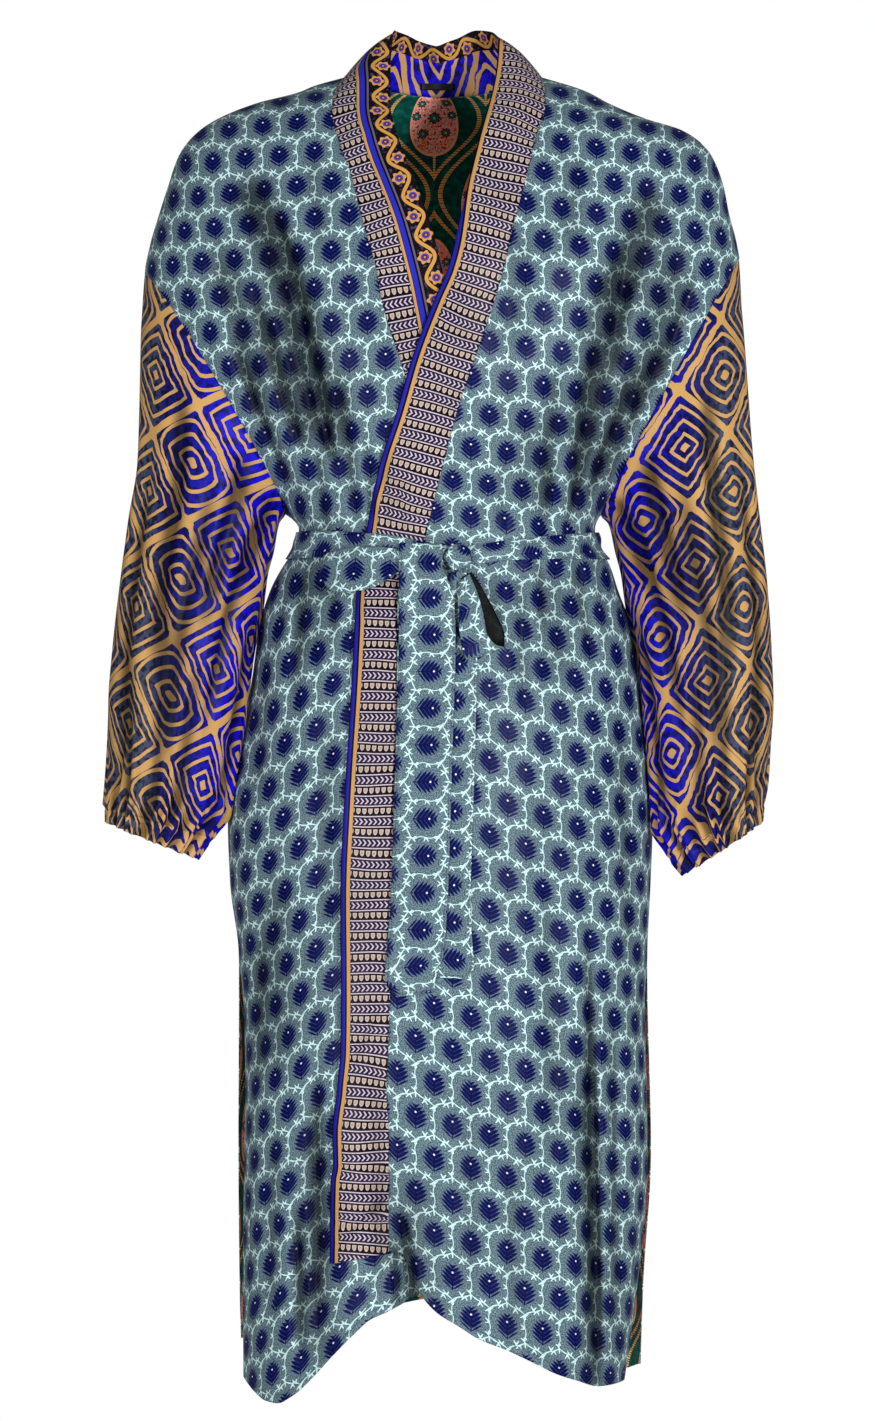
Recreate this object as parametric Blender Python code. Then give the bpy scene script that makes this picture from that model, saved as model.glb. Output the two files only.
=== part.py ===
"""Kimono robe: a long wrap robe in light silk, worn shape, held by a wearer who isn't built.

Sizes are millimetres until solid() makes metres of them. Z is up, the front of the
robe faces -Y, and the origin is the middle of the neck at shoulder height.
Each cut piece is one closed shell. Its outer face is worked out from level slices of
the body, and its inner face lies one wall inside.
"""
import bpy
import numpy as np

for old in list(bpy.data.objects):
    bpy.data.objects.remove(old, do_unlink=True)

WALL = 2.0            # cloth wall of panels, sleeves and bands
THIN = 1.4            # wall of the bow and its hanging ends
SEAM = 0.3            # air between two pieces at a seam
LAYER = 4.0           # how far the top front lies outside the under front
FRONT = -1
BACK = 1
LEFT = -1             # side of the robe on the viewer's left
RIGHT = 1
NECK_X = 88.5         # where the shoulder line meets the band
SHOULDER_X = 231.3    # where the shoulder line turns down
SLIT_TOP = -783.0
HEM_START = -900.0    # below this height the rows lean towards the hem line
HEM_LEVEL = -1180.0


def table(names, *rows):
    """Columns of a table by name."""
    return dict(zip(names.split(), np.array(rows, float).T))


def curve(xs, ys):
    """Smooth line through points that never overshoots them, level beyond its ends."""
    order = np.argsort(xs)
    xs = np.asarray(xs, float)[order]
    ys = np.asarray(ys, float)[order]
    step = np.diff(xs)
    slope = np.diff(ys) / step
    tangent = np.zeros_like(ys)
    same = slope[1:] * slope[:-1] > 0
    near = 2 * step[1:] + step[:-1]
    far = step[1:] + 2 * step[:-1]
    with np.errstate(divide="ignore", invalid="ignore"):
        mean = (near + far) / (near / slope[:-1] + far / slope[1:])
    tangent[1:-1] = np.where(same, mean, 0.0)
    tangent[0] = slope[0]
    tangent[-1] = slope[-1]

    def value(x):
        x = np.clip(np.asarray(x, float), xs[0], xs[-1])
        k = np.clip(np.searchsorted(xs, x) - 1, 0, len(xs) - 2)
        t = (x - xs[k]) / step[k]
        rise = t * t * (3 - 2 * t)
        return (ys[k] * (1 - rise) + ys[k + 1] * rise
                + step[k] * t * (1 - t) * ((1 - t) * tangent[k] - t * tangent[k + 1]))
    return value


def ease(t):
    """Smooth step from 0 to 1."""
    t = np.clip(t, 0.0, 1.0)
    return t * t * (3 - 2 * t)


# Level slices: height, half width on each side, depth forward and back of the side
# line, y of the side line, and how square the slice is.
BODY = table(
    "z left right front back side square",
    (10, 88.5, 88.5, 20, 24, 3, 2.0),
    (2, 117, 116, 34, 48, 4, 2.0),
    (-3, 129, 130, 42, 58, 5, 2.0),
    (-13, 168, 149, 54, 66, 6, 2.0),
    (-27, 203, 183, 66, 74, 7, 2.0),
    (-37, 219, 215, 72, 78, 8, 2.0),
    (-49, 231, 233, 80, 82, 9, 2.0),
    (-62, 239, 243, 87, 85, 9, 2.0),
    (-88, 248, 253, 100, 90, 10, 2.0),
    (-113, 256, 258, 109, 94, 10, 2.0),
    (-140, 264, 265, 116, 97, 11, 2.0),
    (-168, 269, 269, 121, 98, 11, 2.0),
    (-250, 240, 240, 125, 95, 11, 2.0),
    (-330, 200, 200, 113, 85, 10, 2.0),
    (-384, 140, 142, 99, 76, 8, 2.05),
    (-396, 130, 137, 96, 74, 7, 2.1),
    (-411, 130, 138, 94, 74, 6, 2.1),
    (-427, 142, 149, 97, 79, 6, 2.1),
    (-453, 156, 158, 103, 88, 6, 2.1),
    (-483, 165, 169, 109, 97, 6, 2.15),
    (-531, 172, 177, 116, 107, 6, 2.2),
    (-571, 179, 182, 120, 112, 6, 2.2),
    (-601, 186, 186, 122, 114, 6, 2.2),
    (-650, 194, 189, 125, 114, 6, 2.2),
    (-713, 192, 187, 126, 113, 6, 2.2),
    (-783, 184, 184, 127, 112, 6, 2.2),
    (-960, 185, 188, 128, 110, 6, 2.2),
    (-1082, 184, 181, 128, 109, 6, 2.2),
    (-1180, 181, 178, 127, 108, 6, 2.2),
)
# Open side slits: how far the front edge lies in from the side, and how far each
# edge stands off the side line.
SLIT = table(
    "z inset_left inset_right part",
    (-783, 0, 0, 0),
    (-832, 5, 3, 7),
    (-904, 7, 4, 14),
    (-1040, 5, 5, 20),
    (-1100, 4, 9, 21),
    (-1180, 2, 18, 22),
)
# Armhole rings: top and underarm points, depth forward and back, and how far the
# front half leans towards the body for each mm of depth.
ARMHOLE = {
    LEFT: dict(top=(-269.0, -168.0), under=(-142.0, -383.0), front=64.0, back=60.0, lean=0.13),
    RIGHT: dict(top=(267.0, -155.0), under=(142.0, -384.0), front=64.0, back=60.0, lean=0.05),
}
# Seam between front panel and band, and free edge of the band: x by height, with
# the rise and the y of the free edge where it stands round the neck.
BAND_TOP = table(
    "z seam free rise edge_y",
    (10, 88.5, 50, 35, -3),
    (-5, 91, 48, 22, -26),
    (-20, 91, 43, 9, -50),
    (-48, 83, 34, 3, -76),
    (-90, 73, 23, 0, -99),
    (-131, 62, 14, 0, 0),
    (-171, 53, 4, 0, 0),
    (-199, 45, -8, 0, 0),
    (-249, 28, -27, 0, 0),
    (-297, 12, -41, 0, 0),
    (-343, 0, -56, 0, 0),
    (-390, -12, -66, 0, 0),
    (-414, -18, -70, 0, 0),
    (-436, -34, -80, 0, 0),
    (-463, -41, -88, 0, 0),
    (-551, -45, -92, 0, 0),
    (-814, -48, -97, 0, 0),
    (-1180, -48, -98, 0, 0),
)
BAND_UNDER = table(
    "z seam free rise edge_y",
    (10, -88.5, -45, 39, -3),
    (-8, -98, -47, 22, -28),
    (-23, -99, -47, 4, -50),
    (-52, -93, -40, 1, -76),
    (-84, -82, -28, 0, -96),
    (-128, -71, -12, 0, 0),
    (-171, -59, -1, 0, 0),
    (-199, -54, 5, 0, 0),
    (-264, -34, 19, 0, 0),
    (-340, -14, 38, 0, 0),
    (-414, 0, 51, 0, 0),
    (-550, 0, 51, 0, 0),
    (-1180, -3, 49, 0, 0),
)
# Hem lines: height by x.
HEM_TOP = table(
    "x z",
    (-98, -1048), (-48, -1038), (-38, -1037), (-19, -1075), (-5, -1090), (13, -1101),
    (32, -1113), (54, -1122), (80, -1135), (100, -1146), (118, -1153), (140, -1161), (178, -1160),
)
HEM_UNDER = table(
    "x z",
    (-179, -1158), (-168, -1168), (-158, -1174), (-148, -1175), (-135, -1168), (-113, -1147),
    (-100, -1132), (-80, -1111), (-65, -1097), (-48, -1089), (-19, -1074), (10, -1068), (50, -1062),
)
HEM_BACK = table(
    "x z",
    (-181, -1128), (-160, -1142), (-110, -1126), (-50, -1108), (0, -1100), (60, -1110), (120, -1134),
    (160, -1160), (181, -1150),
)
NECKLINE = table(
    "x z",
    (-88.5, 10), (-68, 5.5), (-45, 1.5), (-23, -1), (0, -2), (23, -1), (45, 1.5), (68, 5.5), (88.5, 10),
)
# Largest folds: which face, the line from start to end in front view, half width
# and depth (a ridge has a depth below nought).
FOLDS = table(
    "face x0 z0 x1 z1 wide deep",
    (FRONT, -180, -80, -138, -180, 20, 9),
    (FRONT, -140, -165, -104, -330, 20, 11),
    (FRONT, -205, -140, -158, -300, 17, 6),
    (FRONT, 192, -90, 152, -200, 20, 8),
    (FRONT, 152, -170, 122, -350, 24, 7),
    (FRONT, 214, -135, 170, -300, 17, 6),
    (FRONT, 78, -300, 72, -390, 18, 4),
    (FRONT, -112, -424, -120, -520, 17, 4),
    (FRONT, 96, -424, 108, -540, 18, 4),
    (FRONT, 122, -860, 134, -1190, 18, 9),
    (FRONT, -150, -690, -152, -900, 18, 5),
    (FRONT, -30, -960, -22, -1130, 28, 4),
    (FRONT, -118, -900, -108, -1160, 18, 5),
    (BACK, -150, -110, -96, -370, 24, 8),
    (BACK, 150, -110, 98, -370, 24, 8),
    (BACK, -60, -270, -48, -400, 18, 4),
    (BACK, 8, -250, 4, -400, 18, 4),
    (BACK, 66, -270, 50, -400, 18, 4),
    (BACK, -86, -424, -104, -640, 19, 6),
    (BACK, -24, -424, -34, -620, 18, 5),
    (BACK, 36, -424, 42, -600, 18, 5),
    (BACK, 92, -424, 112, -650, 19, 6),
    (BACK, -70, -700, -84, -1160, 20, 8),
    (BACK, 20, -680, 26, -1120, 20, 7),
    (BACK, 100, -720, 116, -1170, 18, 8),
)

half = {LEFT: curve(BODY["z"], BODY["left"]), RIGHT: curve(BODY["z"], BODY["right"])}
depth = {FRONT: curve(BODY["z"], BODY["front"]), BACK: curve(BODY["z"], BODY["back"])}
side_y = curve(BODY["z"], BODY["side"])
square = curve(BODY["z"], BODY["square"])
inset = {LEFT: curve(SLIT["z"], SLIT["inset_left"]), RIGHT: curve(SLIT["z"], SLIT["inset_right"])}
part = curve(SLIT["z"], SLIT["part"])
LEVELS = np.linspace(HEM_LEVEL, 10.0, 2381)


def ring_point(hole, angle):
    """Point on an armhole ring: angle 0 is its top, 180 the underarm, front first."""
    top = np.array(hole["top"])
    under = np.array(hole["under"])
    along = (1 - np.cos(angle)) / 2
    y = -np.sin(angle) * np.where(np.sin(angle) > 0, hole["front"], hole["back"])
    run = (under - top) / np.hypot(*(under - top))
    across = np.array([-run[1], run[0]]) * (1 if top[0] < 0 else -1)
    x = top[0] + (under[0] - top[0]) * along - across[0] * y * hole["lean"]
    z = top[1] + (under[1] - top[1]) * along - across[1] * y * hole["lean"]
    return x, y, z


def outer_limits(side, face):
    """Half width and stand-off of a panel's outer edge at every level."""
    hole = ARMHOLE[side]
    x = half[side](LEVELS)
    y = np.zeros_like(x)
    angle = np.linspace(0, np.pi, 721) * -face
    ring_x, ring_y, ring_z = ring_point(hole, angle)
    ring_z = np.minimum.accumulate(ring_z)
    inside = (LEVELS <= hole["top"][1]) & (LEVELS >= hole["under"][1])
    x[inside] = np.abs(np.interp(LEVELS[inside], ring_z[::-1], ring_x[::-1]))
    y[inside] = np.abs(np.interp(LEVELS[inside], ring_z[::-1], ring_y[::-1]))
    slit = LEVELS < SLIT_TOP
    y[slit] = part(LEVELS[slit])
    if face == FRONT:
        x[slit] -= inset[side](LEVELS[slit])
    return x, y


EDGE = {(s, f): outer_limits(s, f) for s in (LEFT, RIGHT) for f in (FRONT, BACK)}
REACH = {}
for key, (edge_x, edge_y) in EDGE.items():
    power = square(LEVELS)
    share = np.clip(edge_y / depth[key[1]](LEVELS), 0, 0.95)
    REACH[key] = edge_x / (1 - share ** power) ** (1 / power)


def by_side(x, z, face, values):
    """Look a level table up on the side that x lies on."""
    left = np.interp(z, LEVELS, values[(LEFT, face)])
    right = np.interp(z, LEVELS, values[(RIGHT, face)])
    return np.where(x < 0, left, right)


def body_y(x, z, face):
    """Depth of the worn cloth at a point of the front view: rounded slices plus folds."""
    reach = by_side(x, z, face, REACH)
    power = square(z)
    full = (1 - np.clip(np.abs(x) / reach, 0, 1) ** power) ** (1 / power)
    y = side_y(z) + face * depth[face](z) * full
    for on, x0, z0, x1, z1, wide, deep in zip(*FOLDS.values()):
        if on != face:
            continue
        run = np.array([x1 - x0, z1 - z0])
        length = np.hypot(*run)
        along = ((x - x0) * run[0] + (z - z0) * run[1]) / length ** 2
        across = ((x - x0) * run[1] - (z - z0) * run[0]) / length
        fade = ease((along + 0.12) / 0.35) * ease((1.12 - along) / 0.35)
        y = y - face * deep * fade * np.exp(-(across / wide) ** 2) * np.minimum(1, 1.6 * full)
    return y


def ridge_z(x):
    """Height of the shoulder line, level over the neck and sloping on past the shoulder."""
    out = np.zeros_like(np.asarray(x, float))
    high = LEVELS > -49.6
    for side in (LEFT, RIGHT):
        widths = half[side](LEVELS[high])
        z = np.interp(-np.abs(x), -widths, LEVELS[high])
        beyond = np.maximum(0, np.abs(x) - SHOULDER_X)
        out = np.where(np.sign(x) == side, z - 0.5 * beyond, out)
    return np.where(np.abs(x) <= NECK_X, 10.0, out)


def row_z(x, level, hem):
    """Height along a row: it follows the shoulder near the top and the hem near the foot."""
    follow = 1 - ease((10.0 - level) / 400.0)
    z = level + follow * (ridge_z(x) - 10.0)
    drop = np.maximum(0.0, (level - HEM_START) / (HEM_LEVEL - HEM_START))
    return np.where(drop > 0, HEM_START + (hem(x) - HEM_START) * drop, z)


def row_end(level, hem, side, face):
    """Where a row meets the outer edge of its panel."""
    if level >= 10.0:
        return side * SHOULDER_X
    x = np.linspace(85, 285, 4001)
    over = x - by_side(side * x, row_z(side * x, level, hem), face, {k: v[0] for k, v in EDGE.items()})
    k = int(np.argmax(over > 0))
    return side * (x[k] - over[k] * (x[k] - x[k - 1]) / (over[k] - over[k - 1]))


def level_to(z, hem, side, face):
    """Row level whose outer end lies at a given height of the shoulder."""
    low, high = -150.0, -50.0
    for _ in range(40):
        level = (low + high) / 2
        end = row_end(level, hem, side, face)
        if float(row_z(end, level, hem)) > z:
            high = level
        else:
            low = level
    return level


def normals(grid, wrap=False):
    """Unit normals of a grid of points, found from its two directions."""
    if wrap:
        wide = np.concatenate([grid[:, -1:], grid, grid[:, :1]], axis=1)
        across = (wide[:, 2:] - wide[:, :-2]) / 2
    else:
        across = np.gradient(grid, axis=1)
    down = np.gradient(grid, axis=0)
    n = np.cross(across, down)
    return n / np.maximum(np.linalg.norm(n, axis=2, keepdims=True), 1e-9)


def flatten(n, axis_vector):
    """Take out of a row of normals what points along one direction."""
    axis_vector = np.asarray(axis_vector, float)
    axis_vector = axis_vector / np.linalg.norm(axis_vector)
    n = n - (n @ axis_vector)[..., None] * axis_vector
    return n / np.maximum(np.linalg.norm(n, axis=-1, keepdims=True), 1e-9)


def solid(name, outer, inner, colour, wrap=False, rough=0.45):
    """Closed body between two grids of points, as its own object and material."""
    rows, cols = outer.shape[:2]
    top = np.arange(rows * cols).reshape(rows, cols)
    low = top + rows * cols
    if wrap:
        top = np.concatenate([top, top[:, :1]], axis=1)
        low = np.concatenate([low, low[:, :1]], axis=1)
    faces = []
    for ids, turn in ((top, 1), (low, -1)):
        for corners in ((ids[:-1, :-1], ids[:-1, 1:], ids[1:, 1:]), (ids[:-1, :-1], ids[1:, 1:], ids[1:, :-1])):
            faces.append(np.stack(corners, axis=-1).reshape(-1, 3)[:, ::turn])
    edges = [(top[0], low[0], -1), (top[-1], low[-1], 1)]
    if not wrap:
        edges += [(top[:, 0], low[:, 0], 1), (top[:, -1], low[:, -1], -1)]
    for a, b, turn in edges:
        for corners in ((a[:-1], a[1:], b[1:]), (a[:-1], b[1:], b[:-1])):
            faces.append(np.stack(corners, axis=-1)[:, ::turn])
    faces = np.concatenate(faces)
    points = np.concatenate([outer.reshape(-1, 3), inner.reshape(-1, 3)])
    a, b, c = (points[faces[:, k]] for k in range(3))
    if np.einsum("ij,ij->", a, np.cross(b, c)) < 0:
        faces = faces[:, ::-1]
    mesh = bpy.data.meshes.new(name)
    mesh.from_pydata((points / 1000).tolist(), [], faces.tolist())
    mesh.update()
    body = bpy.data.objects.new(name, mesh)
    bpy.context.scene.collection.objects.link(body)
    look = bpy.data.materials.new(name)
    look.use_nodes = True
    shader = look.node_tree.nodes["Principled BSDF"]
    shader.inputs["Base Color"].default_value = (*colour, 1)
    shader.inputs["Roughness"].default_value = rough
    shader.inputs["Metallic"].default_value = 0.0
    mesh.materials.append(look)
    return body


# Colours of the cloths, linear.
TRELLIS = (0.105, 0.215, 0.235)
BORDER = (0.175, 0.125, 0.155)
DIAMOND = (0.075, 0.060, 0.300)
BLACK = (0.012, 0.012, 0.014)

# Front panels and bands. Each side is one grid: the band's columns first, then the
# panel's, parted by the seam column.
FRONT_LEVELS = (10, 5, -3, -14, -29, -48, -72, -102, -116, -142, -182, -226, -270, -312, -348, -371,
                -384, -397, -411, -427, -446, -474, -520, -580, -650, -730, -820, -910, -1000,
                -1070, -1130, -1180)
TOP_ROW = 7           # the row that ends at the top of the armhole
BAND_CELLS = 3
PANEL_CELLS = 16
NECK_CROWN = 4.0      # how far the band bulges up where it stands beside the neck


def front_grid(side, band, hem_table):
    """Points of one front from the band's free edge to the outer edge, row by row."""
    seam_at = curve(band["z"], band["seam"])
    free_at = curve(band["z"], band["free"])
    rise_at = curve(band["z"], band["rise"])
    edge_at = curve(band["z"][:5], band["edge_y"][:5])
    hem = curve(hem_table["x"], hem_table["z"])
    rows = []
    for j, level in enumerate(FRONT_LEVELS):
        if j == TOP_ROW:
            level = level_to(ARMHOLE[side]["top"][1], hem, side, FRONT)
        end = row_end(level, hem, side, FRONT)
        start = float(seam_at(level))
        turn = np.linspace(np.arcsin(start / end), np.pi / 2, PANEL_CELLS + 1)
        x = end * np.sin(turn)
        z = row_z(x, level, hem)
        panel = np.stack([x, body_y(x, z, FRONT), z], axis=1)
        t = np.linspace(1, 0, BAND_CELLS + 1)[:-1]
        x = start + (float(free_at(level)) - start) * t
        z = row_z(x, level, hem) + float(rise_at(level)) * t
        crown = panel[0, 2] + (level + float(rise_at(level)) - panel[0, 2]) * t + NECK_CROWN * np.sin(np.pi * t)
        z = np.where(level > -60, crown, z)
        straight = panel[0, 1] + (float(edge_at(level)) - panel[0, 1]) * t - 3.0 * np.sin(np.pi * t)
        laid = body_y(x, np.minimum(z, -20.0), FRONT)
        neck = 1 - ease((-40.0 - level) / 70.0)
        strip = np.stack([x, straight * neck + laid * (1 - neck), z], axis=1)
        rows.append(np.concatenate([strip, panel]))
    return np.array(rows)


def over_layer(x, z):
    """How far the top front stands out to pass over the under front."""
    under_edge = np.interp(-z, -BAND_UNDER["z"], BAND_UNDER["free"])
    return LAYER * ease((under_edge + 52 - x) / 40) * ease((-112 - z) / 45)


def front_inner(grid, side):
    """Inner face of a front, its edges turned to lie flat against the next piece."""
    n = normals(grid)
    n = -n * np.sign(n[15, 10, 1])
    for j in range(len(grid)):
        n[j, -1] = edge_normal(n[j, -1], grid[j, -1, 2], side)
    n[0, -1] = n[0, -3] + n[1, -1]
    n[0] = flatten(n[0], (0, 1, 0))
    return grid - n * WALL


def ring_normal(side):
    """Direction square to an armhole ring, pointing down the arm."""
    x, y, z = ring_point(ARMHOLE[side], np.array([0.0, np.pi / 2, np.pi]))
    p = np.stack([x, y, z], axis=1)
    n = np.cross(p[2] - p[0], p[1] - p[0])
    n = n / np.linalg.norm(n)
    return n if n[0] * side > 0 else -n


def edge_normal(n, z, side):
    """Normal of a panel's outer edge, turned to lie flat against the next piece."""
    hole = ARMHOLE[side]
    axis = ring_normal(side)
    top, under = hole["top"][1], hole["under"][1]
    if min(abs(z - top), abs(z - under)) < 1.5:
        corner = np.cross(axis, (0, 1, 0))
        corner = corner / np.linalg.norm(corner)
        return corner * np.sign(corner @ n) * (1.15 if abs(z - top) < 1.5 else 0.3)
    if under <= z <= top:
        return flatten(n, axis) * 1.15
    if z > SLIT_TOP:
        return flatten(n, (0, 1, 0))
    return n


def trim_to_ring(points, side, sign):
    """Keep the points by an armhole on their own side of its plane, half a seam off."""
    hole = ARMHOLE[side]
    axis = ring_normal(side)
    top = np.array([hole["top"][0], float(side_y(hole["top"][1])), hole["top"][1]])
    over = sign * ((points - top) @ axis) - SEAM * 0.6
    near = (points[..., 2] > hole["under"][1] - 1) & (points[..., 2] < hole["top"][1] + 3)
    near &= points[..., 0] * side > 120
    short = np.where(near & (over < 0), over, 0.0)
    points -= sign * short[..., None] * axis


def open_seams(outer, inner, side, face):
    """Draw a panel back by half a seam where it meets the other face or the sleeve."""
    hole = ARMHOLE[side]
    col = 0 if (face == BACK and side == LEFT) else -1
    for j in range(len(outer)):
        z = outer[j, col, 2]
        if z > hole["top"][1] + 1 or (z < hole["under"][1] - 1):
            move = np.array([0, face * SEAM / 2, 0])
        else:
            move = -ring_normal(side) * SEAM / 2 + np.array([0, face * SEAM / 4, 0])
        outer[j, col] += move
        inner[j, col] += move
    trim_to_ring(outer, side, -1)
    trim_to_ring(inner, side, -1)


fronts = {}
for side, band, hem_table, names in (
        (RIGHT, BAND_TOP, HEM_TOP, ("front_left", "band_left")),
        (LEFT, BAND_UNDER, HEM_UNDER, ("front_right", "band_right"))):
    grid = front_grid(side, band, hem_table)
    if side == RIGHT:
        grid[..., 1] -= over_layer(grid[..., 0], grid[..., 2])
    inner = front_inner(grid, side)
    fronts[side] = (grid.copy(), inner.copy())
    open_seams(grid, inner, side, FRONT)
    for points in (grid, inner):
        points[0, :, 1] -= SEAM / 2
    cut = BAND_CELLS
    panel_out, panel_in = grid[:, cut:].copy(), inner[:, cut:].copy()
    band_out, band_in = grid[:, :cut + 1].copy(), inner[:, :cut + 1].copy()
    for points, sign in ((panel_out, 1), (panel_in, 1), (band_out, -1), (band_in, -1)):
        points[:, 0 if sign == 1 else -1, 0] += sign * side * SEAM / 2
    solid(names[0], panel_out, panel_in, TRELLIS)
    solid(names[1], band_out, band_in, BORDER)

# Back panel: one grid from side to side, its top row on the shoulder lines and the
# back neckline.
BACK_LEVELS = (10, 5, -3, -14, -29, -48, -72, -102, -116, -146, -196, -246, -294, -336, -367, -384,
               -398, -411, -430, -456, -500, -560, -640, -740, -850, -950, -1050, -1120, -1180)
BACK_CELLS = 32
neckline = curve(NECKLINE["x"], NECKLINE["z"])
hem_back = curve(HEM_BACK["x"], HEM_BACK["z"])
rows = []
for j, level in enumerate(BACK_LEVELS):
    turn = np.linspace(-np.pi / 2, np.pi / 2, BACK_CELLS + 1)
    pair = [level, level]
    if j == TOP_ROW:
        pair = [level_to(ARMHOLE[s]["top"][1], hem_back, s, BACK) for s in (LEFT, RIGHT)]
    ends = [row_end(pair[0], hem_back, LEFT, BACK), row_end(pair[1], hem_back, RIGHT, BACK)]
    x = np.where(turn < 0, -ends[0], ends[1]) * np.sin(turn)
    level = pair[0] + (pair[1] - pair[0]) * ease(x / 180 + 0.5)
    dip = (neckline(x) - 10.0) * (1 - ease((10.0 - level) / 120.0))
    z = row_z(x, level, hem_back) + np.where(np.abs(x) < NECK_X, dip, 0)
    rows.append(np.stack([x, body_y(x, z, BACK), z], axis=1))
back_out = np.array(rows)
n = normals(back_out)
n = n * np.sign(n[14, BACK_CELLS // 2, 1])
for j in range(len(back_out)):
    for col, side in ((0, LEFT), (-1, RIGHT)):
        n[j, col] = edge_normal(n[j, col], back_out[j, col, 2], side)
n[0, 0] = n[0, 2] + n[1, 0]
n[0, -1] = n[0, -3] + n[1, -1]
shoulder_cols = np.abs(back_out[0, :, 0]) > NECK_X - 0.5
n[0, shoulder_cols] = flatten(n[0, shoulder_cols], (0, 1, 0))
back_in = back_out - n * WALL
for side in (LEFT, RIGHT):
    open_seams(back_out, back_in, side, BACK)
for points in (back_out, back_in):
    points[0, shoulder_cols, 1] += SEAM / 2
neck_cols = np.flatnonzero(np.abs(back_out[0, :, 0]) < NECK_X + 0.5)
seam_line = back_out[0, neck_cols].copy()
solid("back", back_out, back_in, TRELLIS)

# Standing collar behind the neck: free edge for each of the nine seam points.
COLLAR = table(
    "x y z",
    (-45, -3, 49), (-43, 21, 54), (-33, 37, 52), (-21, 45, 47), (-8, 47, 44),
    (11, 46, 49), (29, 38, 56), (43, 22, 53), (50, -3, 45),
)
COLLAR_CELLS = 3
edge_line = np.stack([COLLAR["x"], COLLAR["y"], COLLAR["z"]], axis=1)
t = np.linspace(1, 0, COLLAR_CELLS + 1)[:, None, None]
collar = seam_line[None] * (1 - t) + edge_line[None] * t
collar[..., 1] += 2.5 * np.sin(np.pi * t[..., 0])
left_row, left_in = fronts[LEFT][0][0, :BAND_CELLS + 1], fronts[LEFT][1][0, :BAND_CELLS + 1]
right_row, right_in = fronts[RIGHT][0][0, :BAND_CELLS + 1], fronts[RIGHT][1][0, :BAND_CELLS + 1]
collar[:, 0] = left_row
collar[:, -1] = right_row
n = normals(collar)
n = n * np.sign(n[1, 4, 1])
n[-1] = flatten(n[-1], (0, 0, 1))
collar_in = collar - n * WALL
collar_in[:, 0] = left_in
collar_in[:, -1] = right_in
for points in (collar, collar_in):
    points[:, [0, -1], 1] += SEAM / 2
    points[-1, :, 2] += SEAM
solid("collar_back", collar, collar_in, BORDER)

# Facing inside the collar and the plain label at its foot.
FACING_AIR = 0.8
FACING_WALL = 1.2
facing = collar[1:, 1:-1] - n[1:, 1:-1] * (WALL + FACING_AIR)
facing[0] = facing[0] * 0.55 + facing[1] * 0.45
facing[:, 0] += (facing[:, 1] - facing[:, 0]) * 0.5
facing[:, -1] += (facing[:, -2] - facing[:, -1]) * 0.5
facing[:, [0, -1], 1] -= 0.4
facing_in = facing - n[1:, 1:-1] * FACING_WALL
solid("neck_facing", facing, facing_in, DIAMOND)

LABEL = dict(wide=30.0, high=6.0, wall=0.8, x=-5.0, foot=4.0, air=0.8)
label_x = LABEL["x"] + LABEL["wide"] * np.linspace(-0.5, 0.5, 5)
label_z = (LABEL["foot"] + LABEL["high"] * np.array([1.0, 0.0]))[:, None]
low_y, low_z, high_y, high_z = (np.interp(label_x, facing_in[row, :, 0], facing_in[row, :, axis])
                                for row in (-1, -2) for axis in (1, 2))
label_y = low_y + (high_y - low_y) * (label_z - low_z) / (high_z - low_z) - LABEL["air"]
label = np.stack(np.broadcast_arrays(label_x, label_y, label_z), axis=2)
label_in = label - np.array([0, LABEL["wall"], 0])
solid("label", label, label_in, BLACK)

# Sleeves: outer and inner point of each ring in front view, y of its middle and its
# depth forward and back. The first ring is the armhole, the last the wrist.
SLEEVE = {
    LEFT: table(
        "ox oz ix iz mid front back",
        (-269, -168, -142, -383, 0, 64, 60),
        (-274, -215, -146, -398, 0, 65, 62),
        (-275, -270, -149, -420, -4, 65, 62),
        (-277, -334, -156, -445, -10, 63, 61),
        (-285, -387, -163.5, -474, -16, 61, 60),
        (-293, -447, -171, -509, -21, 60, 59),
        (-299, -500, -176, -546, -24, 59, 58),
        (-303, -553, -182, -586, -26, 57, 57),
        (-303, -596, -188, -622, -27, 53, 53),
        (-303, -628, -195, -652, -28, 46, 46),
        (-303, -645, -207, -674, -28, 37, 37),
    ),
    RIGHT: table(
        "ox oz ix iz mid front back",
        (267, -155, 142, -384, 0, 64, 60),
        (272, -208, 148, -399, 0, 65, 62),
        (276, -265, 152, -421, -4, 65, 62),
        (280, -322, 159, -447, -10, 63, 61),
        (286, -380, 167, -477, -16, 61, 60),
        (293, -440, 175, -511, -21, 60, 59),
        (297, -497, 180, -548, -24, 59, 58),
        (299, -550, 184, -590, -26, 57, 57),
        (295, -592, 187.5, -630, -27, 53, 53),
        (291, -624, 191, -664, -28, 46, 46),
        (287, -642, 202, -689, -28, 37, 37),
    ),
}
CUFF = {
    LEFT: table(
        "ox oz ix iz mid front back",
        (-303, -645, -207, -674, -28, 37, 37),
        (-301, -651, -213, -681, -28, 34, 34),
        (-301, -660, -221, -692, -28, 37, 37),
    ),
    RIGHT: table(
        "ox oz ix iz mid front back",
        (287, -642, 202, -689, -28, 37, 37),
        (286, -649, 207, -696, -28, 34, 34),
        (285, -660, 216, -706, -28, 37, 37),
    ),
}
GATHERS = 20          # gathers round each wrist
GATHER_DEPTH = 2.2


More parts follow.
